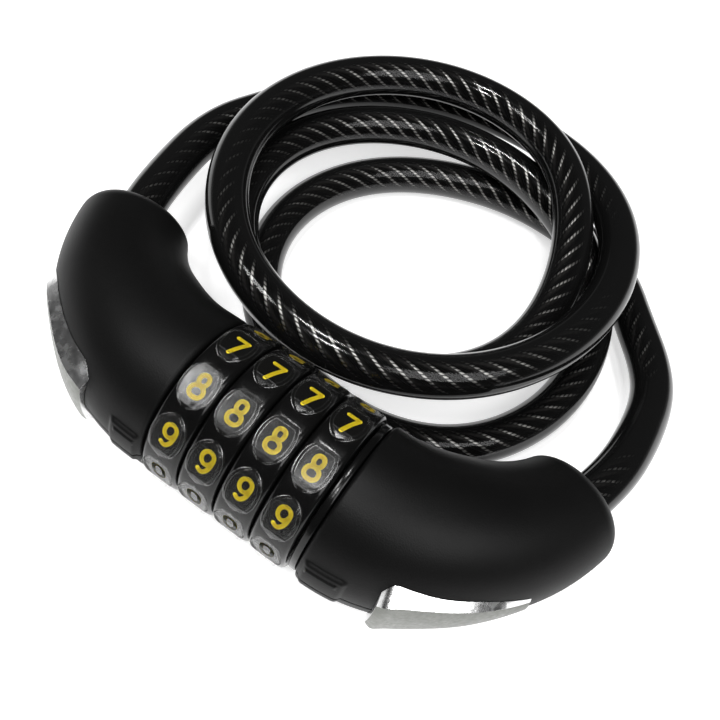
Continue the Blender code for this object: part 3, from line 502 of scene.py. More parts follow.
cast_zinc, tree, shader = new_material("cast_zinc", (0.42, 0.42, 0.43), 0.5, 1.0)
tree.links.new(
    mixed_colour(tree, object_noise(tree, 300, 5.0), (0.3, 0.3, 0.31), (0.52, 0.52, 0.53)),
    shader.inputs["Base Color"],
)
tree.links.new(spread(tree, object_noise(tree, 700), 0.42, 0.62), shader.inputs["Roughness"])
add_bump(tree, shader, object_noise(tree, 1500, 4.0), 0.0001)

turned_steel, tree, shader = new_material("turned_steel", (0.5, 0.5, 0.52), 0.3, 1.0)
place = add_node(tree, "ShaderNodeTexCoord")
stretched = add_node(
    tree, "ShaderNodeMapping", {"Vector": place.outputs["Object"], "Scale": (9000.0, 300.0, 300.0)}
)
lines = add_node(tree, "ShaderNodeTexNoise", {"Vector": stretched.outputs["Vector"], "Scale": 1.0})
tree.links.new(spread(tree, lines.outputs["Fac"], 0.2, 0.42), shader.inputs["Roughness"])
tree.links.new(
    mixed_colour(tree, object_noise(tree, 120, 3.0), (0.4, 0.4, 0.42), (0.58, 0.58, 0.6)),
    shader.inputs["Base Color"],
)
add_bump(tree, shader, lines.outputs["Fac"], 0.00003)

tumbler_brass, tree, shader = new_material("tumbler_brass", (0.68, 0.48, 0.2), 0.35, 1.0)
tree.links.new(
    mixed_colour(tree, object_noise(tree, 200, 4.0), (0.55, 0.36, 0.13), (0.76, 0.56, 0.26)),
    shader.inputs["Base Color"],
)
tree.links.new(spread(tree, object_noise(tree, 500), 0.28, 0.48), shader.inputs["Roughness"])
add_bump(tree, shader, object_noise(tree, 1200), 0.00004)

STEEL_PARTS = (
    "left_ferrule",
    "right_ferrule",
    "left_ferrule_pin",
    "right_ferrule_pin",
    "lock_sleeve",
    "sleeve_pin",
    "detent_strip",
    "thrust_washer",
    "sleeve_circlip",
    "locking_bolt",
    "bolt_pin",
)
FINISHES = (
    (cast_zinc, ("left_core", "right_core")),
    (turned_steel, STEEL_PARTS),
    (tumbler_brass, ("tumbler_1", "tumbler_2", "tumbler_3", "tumbler_4")),
)
for finish, names in FINISHES:
    for name in names:
        for slot in nodes[name].material_slots:
            slot.material = finish


# ---- Housing shells ----
# Each half is two glass-filled nylon shells with a fine satin texture. They meet on a seam along the
# outer curve. It splits a raised index block beside the dials, whose upper part carries a mark.

FACE_RADIUS = 21.2 * MM
MOUTH_RADIUS = 14.5 * MM
TAPER_SPAN = 0.725
WALL = 2.2 * MM
END_WALL = 3.0 * MM
FACE_FILLET = 1.2 * MM
MOUTH_FILLET = 4.0 * MM
FACE_BORE = 5.9 * MM
MOUTH_BORE = 6.8 * MM
MOUTH_EDGE = 0.6 * MM
SECTION_SHIFT = 1.5 * MM
SHIFT_FROM = 0.08
SHIFT_TO = 0.55
SEAM_GAP = 0.15 * MM
SEAM_EDGE = 0.35 * MM
INDEX_START = 0.9 * MM
INDEX_LENGTH = 7.6 * MM
INDEX_TOP = 7.8 * MM
INDEX_BOTTOM = 3.4 * MM
INDEX_HEIGHT = 0.8 * MM
INDEX_SLOPE = 1.0 * MM
MARK_START = 1.6 * MM
MARK_LENGTH = 5.6 * MM
MARK_LEVEL = 5.4 * MM
MARK_HALF_WIDTH = 0.75 * MM
MARK_HEIGHT = 0.35 * MM
MARK_SLOPE = 0.3 * MM
FRONT_ANGLE = 1.0
FACE_STEPS = 6
MOUTH_STEPS = 12
ARC_STEPS = 46
INDEX_STEP = 0.25 * MM
FILLET_PAST = 0.2 * MM
LENGTH_STEP = 1.5 * MM
WALL_STEP = 0.01 * MM
LEVEL_STEP = 0.2 * MM


def eased(share):
    """A share from 0 to 1 with a gentle start and end."""
    return share * share * (3 - 2 * share)


def tapered_radius(side, distance):
    share = min(max(distance / half_length(side), 0.0), 1.0)
    return FACE_RADIUS + (MOUTH_RADIUS - FACE_RADIUS) * eased(TAPER_SPAN * share) / eased(TAPER_SPAN)


def section_shift(side, distance):
    """How far the outer surface sits inside the line of the half, on the side of the outer curve."""
    share = (distance / half_length(side) - SHIFT_FROM) / (SHIFT_TO - SHIFT_FROM)
    return SECTION_SHIFT * eased(min(max(share, 0.0), 1.0))


def outer_radius(side, distance):
    length = half_length(side)
    radius = tapered_radius(side, distance)
    for fillet, depth in ((FACE_FILLET, distance), (MOUTH_FILLET, length - distance)):
        if depth < fillet:
            radius -= fillet - math.sqrt(max(fillet**2 - (fillet - depth) ** 2, 0.0))
    return radius


def inner_radius(side, distance):
    length = half_length(side)
    if distance < END_WALL:
        return FACE_BORE
    if distance > length - END_WALL:
        past = max(distance - (length - MOUTH_EDGE), 0.0)
        return MOUTH_BORE + MOUTH_EDGE - math.sqrt(max(MOUTH_EDGE**2 - past**2, 0.0))
    return outer_radius(side, distance) - WALL


def index_rise(distance, height):
    """How far the index block stands out of the shell, at a height above or below the seam."""
    ends = min(distance - INDEX_START, INDEX_START + INDEX_LENGTH - distance) / INDEX_SLOPE
    sides = min(INDEX_TOP - height, height + INDEX_BOTTOM) / INDEX_SLOPE
    share = min(max(ends, 0.0), 1.0) * min(max(sides, 0.0), 1.0)
    rise = INDEX_HEIGHT * math.sin(math.pi / 2 * share)
    mark_ends = min(distance - MARK_START, MARK_START + MARK_LENGTH - distance)
    mark_sides = MARK_HALF_WIDTH - abs(height - MARK_LEVEL)
    return rise + MARK_HEIGHT * min(max(min(mark_ends, mark_sides) / MARK_SLOPE, 0.0), 1.0)


def shell_stations(side):
    """Distances of a shell's rings, close together at its fillets and its index block."""
    length = half_length(side)
    near = [FACE_FILLET * (1 - math.cos(math.pi / 2 * i / FACE_STEPS)) for i in range(FACE_STEPS + 1)]
    index = list(np.arange(FACE_FILLET + FILLET_PAST, INDEX_START + INDEX_LENGTH + MM, INDEX_STEP))
    along = list(np.arange(index[-1] + MM, length - MOUTH_FILLET, LENGTH_STEP))
    turns = [math.pi / 2 * i / MOUTH_STEPS for i in range(MOUTH_STEPS + 1)]
    far = [length - MOUTH_FILLET * (1 - math.sin(turn)) for turn in turns]
    return sorted(near + index + along + [END_WALL, END_WALL + WALL_STEP] + far)


def ring_faces(rings, count, wrapped=False):
    """Quads between rings of points, and from the last ring to the first where it is wrapped."""
    faces = []
    for row in range(rings if wrapped else rings - 1):
        here, there = row * count, (row + 1) % rings * count
        for i in range(count):
            j = (i + 1) % count
            faces.append((here + i, here + j, there + j, there + i))
    return faces


def end_faces(rings, count):
    """Quads across the first and the last ring, from its first half to its second."""
    faces = []
    for start in (0, (rings - 1) * count):
        for i in range(count // 2 - 1):
            faces.append((start + i, start + i + 1, start + count - 2 - i, start + count - 1 - i))
    return faces


def finish_mesh(obj, material, sharp_angle):
    """Outward faces, smooth shading up to the given angle in degrees, and the piece's material."""
    shape = bmesh.new()
    shape.from_mesh(obj.data)
    bmesh.ops.remove_doubles(shape, verts=shape.verts, dist=0.000001)
    bmesh.ops.recalc_face_normals(shape, faces=shape.faces)
    shape.to_mesh(obj.data)
    shape.free()
    obj.data.shade_smooth()
    obj.data.set_sharp_from_angle(angle=math.radians(sharp_angle))
    if material is not None:
        obj.data.materials.clear()
        obj.data.materials.append(material)


def shell_piece(name, side, up, body, node):
    """One shell as a closed solid: rings of an outer and an inner half circle."""
    index_end = (INDEX_TOP if up > 0 else INDEX_BOTTOM) + 2 * LEVEL_STEP
    fine = np.arange(0.0, index_end, LEVEL_STEP) + SEAM_GAP
    stations = shell_stations(side)
    points = []
    for distance in stations:
        outer, inner = outer_radius(side, distance), inner_radius(side, distance)
        near = [math.asin(height / outer) for height in fine]
        coarse = np.linspace(near[-1], math.pi, ARC_STEPS)[1:-1]
        angles = near + list(coarse) + [math.pi - math.asin(SEAM_GAP / outer)]
        for angle in angles:
            height = outer * math.sin(angle)
            rise = index_rise(distance, up * height) if angle < FRONT_ANGLE else 0.0
            edge = max(SEAM_EDGE - height + SEAM_GAP, 0.0) / SEAM_EDGE
            radius = outer + rise - SEAM_EDGE * 0.5 * edge**2
            radial = radius * math.cos(angle) - section_shift(side, distance)
            points.append(half_point(side, distance, radial, up * radius * math.sin(angle)))
        first = math.asin(SEAM_GAP / inner)
        for angle in np.linspace(math.pi - first, first, len(angles)):
            radial, level = inner * math.cos(angle), up * inner * math.sin(angle)
            points.append(half_point(side, distance, radial, level))
    rings, count = len(stations), len(points) // len(stations)
    shell = mesh_object(name, points, ring_faces(rings, count) + end_faces(rings, count))
    finish_mesh(shell, satin_nylon, sharp_angle=40)
    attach(shell, body)
    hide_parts(node)


satin_nylon, tree, shader = new_material("satin_nylon", (0.005, 0.005, 0.005), 0.5)
tree.links.new(
    mixed_colour(tree, object_noise(tree, 45, 3.0), (0.0025, 0.0025, 0.0025), (0.005, 0.005, 0.005)),
    shader.inputs["Base Color"],
)
tree.links.new(spread(tree, object_noise(tree, 30, 4.0), 0.38, 0.5), shader.inputs["Roughness"])
shader.inputs["Specular IOR Level"].default_value = 0.12
add_bump(tree, shader, object_noise(tree, 2600, 3.0), 0.00006, 0.6)

for side, word, body in ((-1, "left", "dial_half"), (1, "right", "bolt_half")):
    shell_piece(f"{word}_housing_upper", side, 1, body, f"{word}_shell_top")
    shell_piece(f"{word}_housing_lower", side, -1, body, f"{word}_shell_bottom")


# ---- Finger grips ----
# Die-cast zinc plates with a bright polished wall and a satin face. They sit on the outer curve of
# each half on two pegs, and the steep heel toward the dials takes the fingers' pull.

GRIP_SEAT_GAP = 0.1 * MM
GRIP_CROWN = 0.7 * MM
GRIP_STATIONS = 56
GRIP_LEVELS = 15
GRIP_EDGE = 0.25 * MM

# Where each grip starts along its half, and its length.
GRIP_RUNS = {-1: (15.0 * MM, 26.4 * MM), 1: (13.7 * MM, 26.4 * MM)}

# At a share of the grip's length: half heights of its root and its face, and how far the face stands
# proud of the shell, in millimetres.
GRIP_SHAPES = {
    -1: (
        (0.00, 9.5, 7.8, 1.0),
        (0.06, 11.3, 9.0, 1.4),
        (0.14, 11.7, 9.0, 1.6),
        (0.30, 10.9, 8.5, 1.5),
        (0.50, 10.0, 7.9, 1.2),
        (0.75, 8.8, 6.9, 1.3),
        (0.92, 7.2, 5.4, 1.5),
        (1.00, 5.6, 4.0, 1.4),
    ),
    1: (
        (0.00, 8.6, 7.0, 1.6),
        (0.04, 10.6, 8.8, 2.2),
        (0.10, 11.0, 9.2, 1.9),
        (0.20, 10.3, 8.8, 1.4),
        (0.37, 9.0, 7.8, 1.1),
        (0.60, 7.8, 6.6, 1.1),
        (0.82, 6.3, 5.1, 0.8),
        (1.00, 4.8, 3.6, 0.5),
    ),
}


def grip_piece(name, side, body, node):
    """A grip as a closed solid: rings of a seat on the shell and a crowned face."""
    points = []
    shares = (1 - np.cos(np.linspace(0, math.pi, GRIP_STATIONS))) / 2
    shape = np.array(GRIP_SHAPES[side])
    start, length = GRIP_RUNS[side]
    levels = np.linspace(-1, 1, GRIP_LEVELS)
    sizes = smooth_line(shape[:, 0], shape[:, 1:] * MM, shares)
    for share, (root, top, proud) in zip(shares, sizes):
        distance = start + share * length
        shift = section_shift(side, distance)
        seat = tapered_radius(side, distance) + GRIP_SEAT_GAP
        for level in levels:
            z = root * level
            points.append(half_point(side, distance, math.sqrt(seat**2 - z**2) - shift, z))
        for level in levels[::-1]:
            radial = seat + proud - shift - GRIP_CROWN * level**2
            points.append(half_point(side, distance, radial, top * level))
    count = 2 * GRIP_LEVELS
    sides, ends = ring_faces(GRIP_STATIONS, count), end_faces(GRIP_STATIONS, count)
    grip = mesh_object(name, points, sides + ends)
    grip.data.materials.append(polished_zinc)
    grip.data.materials.append(satin_zinc)
    for i, polygon in enumerate(grip.data.polygons):
        on_face = i < len(sides) and GRIP_LEVELS <= i % count < count - 1
        polygon.material_index = 1 if on_face else 0
    finish_mesh(grip, None, sharp_angle=30)
    bevel = grip.modifiers.new("edge", "BEVEL")
    bevel.width = GRIP_EDGE
    bevel.segments = 3
    bevel.limit_method = "ANGLE"
    bevel.angle_limit = math.radians(35)
    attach(grip, body)
    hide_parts(node)


polished_zinc, tree, shader = new_material("polished_zinc", (0.8, 0.8, 0.8), 0.2, 1.0)
tree.links.new(spread(tree, object_noise(tree, 400, 4.0), 0.18, 0.32), shader.inputs["Roughness"])
add_bump(tree, shader, object_noise(tree, 700, 3.0), 0.00003)
satin_zinc, tree, shader = new_material("satin_zinc", (0.14, 0.145, 0.13), 0.38, 1.0)
tree.links.new(
    mixed_colour(tree, object_noise(tree, 150, 3.0), (0.125, 0.13, 0.117), (0.155, 0.16, 0.145)),
    shader.inputs["Base Color"],
)
tree.links.new(spread(tree, object_noise(tree, 900, 3.0), 0.3, 0.45), shader.inputs["Roughness"])
add_bump(tree, shader, object_noise(tree, 2500, 2.0), 0.00004)

for side, word, body in ((-1, "left", "dial_half"), (1, "right", "bolt_half")):
    grip_piece(f"{word}_grip", side, body, f"{word}_finger_grip")


# ---- End collar ----
# A thin moulded ring closes the dial stack on the side of the bolt half. It slides over the end of
# the lock sleeve, where a circlip holds it.

gloss_black, tree, shader = new_material("gloss_black", (0.005, 0.005, 0.005), 0.16)
tree.links.new(
    mixed_colour(tree, object_noise(tree, 80, 3.0), (0.002, 0.002, 0.002), (0.005, 0.005, 0.005)),
    shader.inputs["Base Color"],
)
shader.inputs["Specular IOR Level"].default_value = 0.3
tree.links.new(spread(tree, object_noise(tree, 200, 3.0), 0.12, 0.24), shader.inputs["Roughness"])
add_bump(tree, shader, object_noise(tree, 700, 2.0), 0.00003)

COLLAR_START = 21.1 * MM
COLLAR_THICKNESS = 2.0 * MM
COLLAR_RADIUS = 20.2 * MM
COLLAR_BORE = 8.0 * MM
COLLAR_EDGE = 0.4 * MM
COLLAR_STEPS = 120


def ring_object(name, profile, steps):
    """A ring turned about X from a closed profile of (x, radius)."""
    points = []
    for i in range(steps):
        angle = 2 * math.pi * i / steps
        points += [(x, radius * math.cos(angle), radius * math.sin(angle)) for x, radius in profile]
    return mesh_object(name, points, ring_faces(steps, len(profile), wrapped=True))


def moved_mesh(obj, x):
    """Moves a piece's mesh from the middle of the dial axis to a place along it."""
    obj.data.transform(Matrix.Translation(AXIS_PLACE + Vector((x, 0, 0))))


profile = [
    (0.0, COLLAR_BORE),
    (0.0, COLLAR_RADIUS - COLLAR_EDGE),
    (0.3 * COLLAR_EDGE, COLLAR_RADIUS - 0.3 * COLLAR_EDGE),
    (COLLAR_EDGE, COLLAR_RADIUS),
]
profile += [(COLLAR_THICKNESS - x, radius) for x, radius in profile[::-1]]
collar = ring_object("collar_ring", profile, COLLAR_STEPS)
finish_mesh(collar, gloss_black, sharp_angle=50)
moved_mesh(collar, COLLAR_START)
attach(collar, "dial_half")
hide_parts("end_collar")


# ---- Number dials ----
# Each dial is a moulded glossy black ring with ten oval pockets in its crown, one for each digit. It
# turns on the lock sleeve, with its tumbler pressed inside it.

DIAL_COUNT = 4
DIGIT_COUNT = 10
DIAL_PITCH = 10.4 * MM
DIAL_HALF = 5.05 * MM
DIAL_CROWN = 21.6 * MM
DIAL_EDGE = 20.3 * MM
DIAL_CHAMFER = 1.6 * MM
CHAMFER_STEPS = 6
DIAL_BORE = 14.3 * MM
DIAL_STEPS = 160
PAD_TOP = 22.4 * MM
PAD_LENGTH = 11.6 * MM
PAD_WIDTH = 8.6 * MM
PAD_FLAT = 7.6 * MM
POCKET_FLOOR = 21.0 * MM
POCKET_GAP = 0.05 * MM
POCKET_STEPS = 32
OVAL_POWER = 2.3
OVAL_END = 0.0004

tree, given, result = node_tree(
    "round_the_dial",
    {
        "Count": "NodeSocketInt",
        "Material": "NodeSocketMaterial",
        "Edge Material": "NodeSocketMaterial",
    },
)
places = add_node(tree, "GeometryNodePoints", {"Count": given.outputs["Count"]})
index = add_node(tree, "GeometryNodeInputIndex").outputs["Index"]
share = add_math(tree, "DIVIDE", index, given.outputs["Count"])
angle = add_math(tree, "MULTIPLY", share, -2 * math.pi)
turn = add_node(tree, "ShaderNodeCombineXYZ", {"X": angle}).outputs["Vector"]
placed = add_node(
    tree,
    "GeometryNodeInstanceOnPoints",
    {"Points": places.outputs["Geometry"], "Instance": given.outputs["Geometry"], "Rotation": turn},
)
edge = add_node(tree, "GeometryNodeInputNamedAttribute", {"Name": "edge"}, data_type="BOOLEAN")
done = add_node(
    tree,
    "GeometryNodeSetMaterial",
    {
        "Geometry": real_mesh(tree, placed.outputs["Instances"], given),
        "Selection": edge.outputs["Attribute"],
        "Material": given.outputs["Edge Material"],
    },
)
tree.links.new(done.outputs["Geometry"], result.inputs["Geometry"])
round_the_dial = tree


def oval_half(length, width, place):
    """Half the width of an oval at a place along it."""
    return width / 2 * math.sqrt(max(1 - abs(2 * place / length) ** OVAL_POWER, OVAL_END))


def oval_rows(length, steps, extra):
    """Places along an oval, close together at its ends, with the extra ones given."""
    turns = np.linspace(-math.pi / 2, math.pi / 2, steps + 1)
    return sorted(set(np.round(np.concatenate([np.sin(turns) * length / 2, extra]), 7)))


def cap_faces(rings, count):
    """The first and the last ring as one face each."""
    return [tuple(range(count)), tuple(range((rings - 1) * count, rings * count))]


def pocket_block(name):
    """The oval block that cuts a pocket into the front of a dial."""
    length, width = PAD_LENGTH + 2 * POCKET_GAP, PAD_WIDTH + 2 * POCKET_GAP
    top = DIAL_CROWN + MM
    rows = oval_rows(length, POCKET_STEPS, [-PAD_FLAT / 2, PAD_FLAT / 2])
    points = []
    for place in rows:
        half = oval_half(length, width, place)
        section = [(-half, POCKET_FLOOR), (-half, top), (half, top), (half, POCKET_FLOOR)]
        points += [(x, -radius, place) for x, radius in section]
    return mesh_object(name, points, ring_faces(len(rows), 4) + cap_faces(len(rows), 4))


def dial_place(i):
    """Where a dial's middle is along the dial axis."""
    return (i - (DIAL_COUNT - 1) / 2) * DIAL_PITCH


profile = [(-DIAL_HALF, DIAL_BORE), (-DIAL_HALF, DIAL_EDGE)]
for i in range(1, CHAMFER_STEPS + 1):
    turn = math.pi / 2 * i / CHAMFER_STEPS
    x = -DIAL_HALF + DIAL_CHAMFER * (1 - math.cos(turn))
    profile.append((x, DIAL_EDGE + (DIAL_CROWN - DIAL_EDGE) * math.sin(turn)))
profile += [(-x, radius) for x, radius in profile[::-1]]
dial_ring = ring_object("dial_ring", profile, DIAL_STEPS)
finish_mesh(dial_ring, gloss_black, sharp_angle=30)
pockets = pocket_block("dial_pockets")
finish_mesh(pockets, gloss_black, sharp_angle=30)
run_tree(
    pockets,
    round_the_dial,
    {"Count": DIGIT_COUNT, "Material": gloss_black, "Edge Material": gloss_black},
)
cut = dial_ring.modifiers.new("pockets", "BOOLEAN")
cut.operation = "DIFFERENCE"
cut.solver = "EXACT"
cut.object = pockets
bpy.context.view_layer.update()
evaluated = dial_ring.evaluated_get(bpy.context.evaluated_depsgraph_get())
dial_mesh = bpy.data.meshes.new_from_object(evaluated)
bpy.data.objects.remove(dial_ring)
bpy.data.objects.remove(pockets)
for i in range(DIAL_COUNT):
    dial = bpy.data.objects.new(f"dial_ring_{i + 1}", dial_mesh.copy())
    bpy.context.scene.collection.objects.link(dial)
    finish_mesh(dial, gloss_black, sharp_angle=30)
    moved_mesh(dial, dial_place(i))
    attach(dial, f"dial_{i + 1}")
    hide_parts(f"number_dial_{i + 1}")


# ---- Dial digits ----
# Yellow digits with round stroke ends are printed on the pocket floors. They run from 0 at the front
# over 9 and 8 to the top, and on round the dial.

DIGIT_WIDTH = 4.0 * MM
DIGIT_HEIGHT = 6.6 * MM
STROKE = 1.05 * MM
STROKE_SIDES = 16
LOOP_STEPS = 64
DIGIT_RISE = 0.06 * MM

# Whether a stroke is closed, and the points of its middle line as shares of the digit's width and height.
DIGIT_PATHS = {
    0: (True, [(0.5, 1), (0.9, 0.86), (1, 0.5), (0.9, 0.14), (0.5, 0), (0.1, 0.14), (0, 0.5), (0.1, 0.86)]),
    1: (False, [(0.15, 0.78), (0.55, 1.0), (0.55, 0.5), (0.55, 0.0)]),
    2: (
        False,
        [(0.03, 0.76), (0.18, 0.95), (0.5, 1), (0.83, 0.93), (0.95, 0.72), (0.82, 0.5), (0.4, 0.22)]
        + [(0.02, 0.0), (0.5, 0.0), (1.0, 0.0)],
    ),
    3: (
        False,
        [(0.05, 0.9), (0.45, 1), (0.82, 0.92), (0.92, 0.75), (0.8, 0.58), (0.45, 0.52), (0.82, 0.45)]
        + [(0.97, 0.26), (0.84, 0.06), (0.45, 0), (0.02, 0.1)],
    ),
    4: (
        False,
        [(0.78, 0.0), (0.78, 0.5), (0.78, 1.0), (0.4, 0.62), (0.0, 0.25), (0.5, 0.25), (1.0, 0.25)],
    ),
    5: (
        False,
        [(0.9, 1.0), (0.5, 1.0), (0.15, 1.0), (0.12, 0.8), (0.08, 0.55), (0.45, 0.62), (0.84, 0.54)]
        + [(1, 0.3), (0.84, 0.06), (0.45, 0), (0.02, 0.1)],
    ),
    6: (
        False,
        [(0.9, 0.93), (0.55, 1.0), (0.18, 0.82), (0.02, 0.45), (0.12, 0.1), (0.5, 0.0), (0.88, 0.1)]
        + [(1.0, 0.32), (0.86, 0.54), (0.5, 0.62), (0.15, 0.5), (0.03, 0.32)],
    ),
    7: (False, [(0.0, 1.0), (0.5, 1.0), (1.0, 1.0), (0.6, 0.5), (0.32, 0.0)]),
    8: (
        True,
        [(0.5, 0.52), (0.78, 0.6), (0.88, 0.77), (0.78, 0.94), (0.5, 1), (0.22, 0.94), (0.12, 0.77)]
        + [(0.22, 0.6), (0.5, 0.52), (0.9, 0.44), (1.06, 0.25), (0.9, 0.06), (0.5, 0), (0.1, 0.06)]
        + [(-0.06, 0.25), (0.1, 0.44)],
    ),
}
DIGIT_PATHS[9] = (False, [(1 - u, 1 - v) for u, v in DIGIT_PATHS[6][1]])
DIGIT_CORNERS = {1: (1,), 2: (7,), 3: (5,), 4: (2, 4), 5: (2, 4), 7: (2,)}

dial_yellow, tree, shader = new_material("dial_yellow", (0.93, 0.74, 0.02), 0.45)
tree.links.new(
    mixed_colour(tree, object_noise(tree, 900, 3.0), (0.88, 0.68, 0.012), (0.96, 0.78, 0.03)),
    shader.inputs["Base Color"],
)
tree.links.new(spread(tree, object_noise(tree, 1500), 0.4, 0.55), shader.inputs["Roughness"])
add_bump(tree, shader, object_noise(tree, 3000), 0.00002)


def digit_line(digit):
    """The middle line of a digit's stroke, in metres, rounded between its corners."""
    closed, shares = DIGIT_PATHS[digit]
    scale = np.array((DIGIT_WIDTH - STROKE, DIGIT_HEIGHT - STROKE))
    points = (np.array(shares) - 0.5) * scale
    if closed:
        wrapped = np.vstack([points[-3:], points, points[:3]])
        along = chords(wrapped)
        fine = np.linspace(along[3], along[3 + len(points)], LOOP_STEPS)[:-1]
        return smooth_line(along, wrapped, fine), True
    cuts = [0, *DIGIT_CORNERS.get(digit, ()), len(points) - 1]
    pieces = []
    for start, end in zip(cuts, cuts[1:]):
        part = points[start : end + 1]
        along = chords(part)
        fine = smooth_line(along, part, np.linspace(0, along[-1], 4 * len(part)))
        pieces.append(fine if start == 0 else fine[1:])
    return np.vstack(pieces), False


def stroke_faces(line, closed):
    """Discs along the stroke's line joined by quads: an outline with round ends and corners."""
    count = len(line)
    points, faces = [], []
    last = count if closed else count - 1
    for i in range(last):
        a, b = line[i], line[(i + 1) % count]
        step = b - a
        across = np.array((-step[1], step[0])) / max(np.linalg.norm(step), 1e-9) * STROKE / 2
        start = len(points)
        points += [a - across, b - across, b + across, a + across]
        faces.append((start, start + 1, start + 2, start + 3))
    for i in range(count):
        start = len(points)
        for k in range(STROKE_SIDES):
            turn = 2 * math.pi * k / STROKE_SIDES
            points.append(line[i] + STROKE / 2 * np.array((math.cos(turn), math.sin(turn))))
        faces.append(tuple(range(start, start + STROKE_SIDES)))
    return points, faces


for i in range(DIAL_COUNT):
    points, faces = [], []
    radius = POCKET_FLOOR + DIGIT_RISE
    for digit in range(DIGIT_COUNT):
        flat, flat_faces = stroke_faces(*digit_line(digit))
        angle = math.radians(360 / DIGIT_COUNT * ((DIGIT_COUNT - digit) % DIGIT_COUNT))
        faces += [tuple(len(points) + corner for corner in face) for face in flat_faces]
        for u, v in flat:
            y = -radius * math.cos(angle) + v * math.sin(angle)
            points.append((u, y, radius * math.sin(angle) + v * math.cos(angle)))
    digits = mesh_object(f"digits_{i + 1}", points, faces)
    digits.data.materials.append(dial_yellow)
    moved_mesh(digits, dial_place(i))
    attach(digits, f"dial_{i + 1}")


# ---- Window pads ----
# A clear oval acrylic pad snaps over each digit. Its middle is a nearly flat facet between two straight
# edges, and its ends fall away. The moulded edges are a little frosted and catch the light.

PAD_DOME = 0.05 * MM
PAD_END_DROP = 0.9 * MM
PAD_EDGE = 0.18 * MM
PAD_SIDE = 0.8 * MM
PAD_SIDE_DROP = 0.3 * MM
PAD_BOTTOM = POCKET_FLOOR + 0.15 * MM
PAD_SINK = 0.1 * MM
PAD_STEPS = 40
RIM_DROP = 0.03 * MM
CREASE_DROP = 0.02 * MM
CREASE_RUN = 0.13 * MM


def pad_object(name):
    """A window pad at the front of a dial, with its frosted edges marked in a face attribute."""
    crease = PAD_FLAT / 2 + PAD_EDGE
    rows = oval_rows(PAD_LENGTH, PAD_STEPS, [-crease, -PAD_FLAT / 2, PAD_FLAT / 2, crease])
    points = []
    for place in rows:
        half = oval_half(PAD_LENGTH, PAD_WIDTH, place)
        past = max(abs(place) - PAD_FLAT / 2, 0.0) / (PAD_LENGTH / 2 - PAD_FLAT / 2)
        bottom = min(PAD_BOTTOM, math.sqrt(DIAL_CROWN**2 - place**2) - PAD_SINK)
        dome = PAD_DOME * min(abs(2 * place / PAD_FLAT), 1.0) ** 2
        height = PAD_TOP - dome - PAD_END_DROP * past**1.2
        rise = height - PAD_SIDE_DROP
        rim, side = min(PAD_EDGE, half * 0.2), min(PAD_SIDE, half * 0.5)
        inner = half - side - CREASE_RUN * min(half / MM, 1.0)
        across = [half, half, half - rim, half - side, inner, half / 3]
        levels = [bottom, rise - RIM_DROP, rise, height - CREASE_DROP, height, height]
        section = [(-x, z) for x, z in zip(across, levels)] + [(0.0, height)]
        section += [(x, z) for x, z in zip(across[::-1], levels[::-1])] + [(0.0, bottom)]
        points += [(x, -z, place) for x, z in section]
    count = len(section)
    faces = ring_faces(len(rows), count) + cap_faces(len(rows), count)
    marks = []
    for first, last in zip(rows, rows[1:]):
        middle = abs(first + last) / 2
        on_flat, on_crease = middle < PAD_FLAT / 2, PAD_FLAT / 2 < middle < crease
        for i in range(count):
            marks.append(i in (1, 10) or (on_flat and i in (3, 8)) or (on_crease and 3 <= i <= 8))
    marks += [True, True]
    pad = mesh_object(name, points, faces)
    edge = pad.data.attributes.new("edge", "BOOLEAN", "FACE")
    edge.data.foreach_set("value", [bool(mark) for mark in marks])
    return pad


def front_cover(tree, cover):
    """How much a pad covers, on its outer side only, so that its inner side stays clear."""
    behind = add_node(tree, "ShaderNodeNewGeometry").outputs["Backfacing"]
    return add_math(tree, "MULTIPLY", cover, add_math(tree, "SUBTRACT", 1.0, behind))


clear_acrylic, tree, shader = new_material("clear_acrylic", (0.05, 0.05, 0.04), 0.12)
facing = add_node(tree, "ShaderNodeLayerWeight", {"Blend": 0.4}).outputs["Facing"]
cover = spread(tree, facing, 0.045, 0.3, 0.34, 0.54)
cover = add_math(tree, "MULTIPLY", cover, spread(tree, facing, 1.0, 0.15, 0.58, 0.7))
tree.links.new(front_cover(tree, cover), shader.inputs["Alpha"])
tree.links.new(spread(tree, object_noise(tree, 500), 0.16, 0.22), shader.inputs["Roughness"])
add_bump(tree, shader, object_noise(tree, 160), 0.00002)
shader.inputs["IOR"].default_value = 4.2

frosted_edge, tree, shader = new_material("frosted_edge", (0.02, 0.021, 0.02), 0.35)
cover = spread(tree, object_noise(tree, 400, 3.0), 0.25, 0.55)
tree.links.new(front_cover(tree, cover), shader.inputs["Alpha"])
tree.links.new(spread(tree, object_noise(tree, 900), 0.3, 0.4), shader.inputs["Roughness"])
add_bump(tree, shader, object_noise(tree, 900), 0.00003)
shader.inputs["IOR"].default_value = 3.4

for i in range(DIAL_COUNT):
    pad = pad_object(f"window_pads_{i + 1}")
    finish_mesh(pad, clear_acrylic, sharp_angle=4)
    run_tree(
        pad,
        round_the_dial,
        {"Count": DIGIT_COUNT, "Material": clear_acrylic, "Edge Material": frosted_edge},
    )
    moved_mesh(pad, dial_place(i))
    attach(pad, f"dial_{i + 1}")


# ---- Floor and light ----
# A plain white floor keeps the lock's shadow. Two soft lamps hang left and right of the lock, and two
# small bright ones give the thin lines of light on the sleeve. The sky is pale at its edge only.

FLOOR_HALF = 3.0
FLOOR_GLOW = 0.62
LAMP_TARGET = Vector((0, 0.03, 0.03))
LAMP_DISTANCE = 0.9

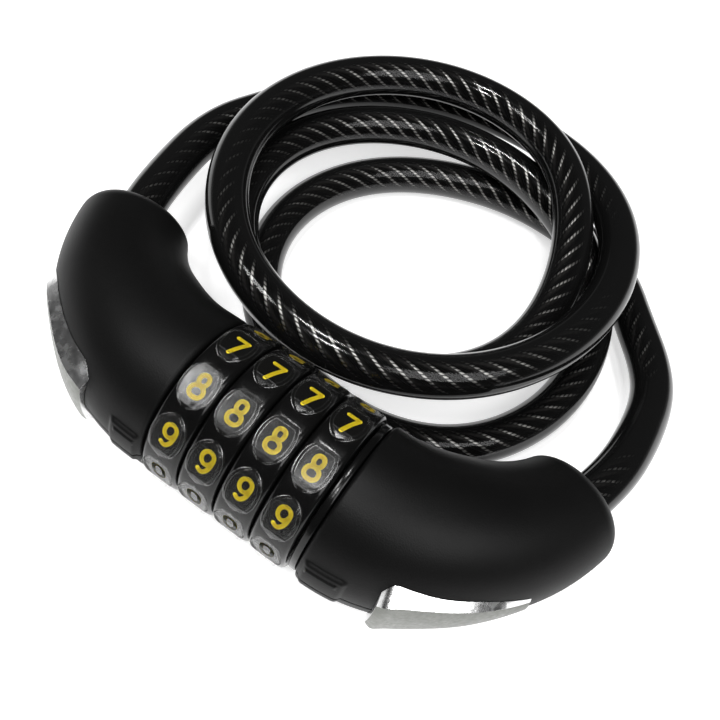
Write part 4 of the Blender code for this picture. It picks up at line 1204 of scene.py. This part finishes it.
# Each lamp's name, direction from the target, size in metres and power in watts.
LAMPS = (
    ("left_lamp", (-0.44, -0.25, 0.86), 0.26, 3.0),
    ("right_lamp", (0.55, -0.25, 0.8), 0.66, 4.8),
    ("far_lamp", (-0.03, -0.38, 0.92), 0.11, 2.3),
    ("near_lamp", (-0.12, 0.07, 0.99), 0.11, 2.3),
)

corners = [(x * FLOOR_HALF, y * FLOOR_HALF, 0) for x, y in ((-1, -1), (1, -1), (1, 1), (-1, 1))]
floor = mesh_object("floor", corners, [(0, 1, 2, 3)])
white_floor, tree, shader = new_material("white_floor", (0.8, 0.8, 0.8), 0.7)
rays = add_node(tree, "ShaderNodeLightPath")
seen = add_math(tree, "MAXIMUM", rays.outputs["Is Camera Ray"], rays.outputs["Is Glossy Ray"])
seen = add_math(tree, "MAXIMUM", seen, rays.outputs["Is Transmission Ray"])
glow = add_math(tree, "MULTIPLY", seen, FLOOR_GLOW)
tree.links.new(glow, shader.inputs["Emission Strength"])
shader.inputs["Emission Color"].default_value = (1, 1, 1, 1)
floor.data.materials.append(white_floor)

for name, aim, size, power in LAMPS:
    lamp_data = bpy.data.lights.new(name, "AREA")
    lamp_data.shape = "DISK"
    lamp_data.size = size
    lamp_data.energy = power
    lamp = bpy.data.objects.new(name, lamp_data)
    bpy.context.scene.collection.objects.link(lamp)
    aim = Vector(aim).normalized()
    turn = aim.to_track_quat("Z", "Y").to_matrix().to_4x4()
    lamp.matrix_world = Matrix.Translation(LAMP_TARGET + aim * LAMP_DISTANCE) @ turn

world = bpy.data.worlds.new("sky")
world.use_nodes = True
tree = world.node_tree
sky = tree.nodes["Background"]
place = add_node(tree, "ShaderNodeTexCoord")
height = add_node(tree, "ShaderNodeSeparateXYZ", {"Vector": place.outputs["Generated"]}).outputs["Z"]
level = spread(tree, height, 0.3, 0.04, 0.0, 0.16)
tree.links.new(level, sky.inputs["Strength"])
sky.inputs["Color"].default_value = (1, 1, 1, 1)
bpy.context.scene.world = world
bpy.context.scene.view_settings.view_transform = "Standard"
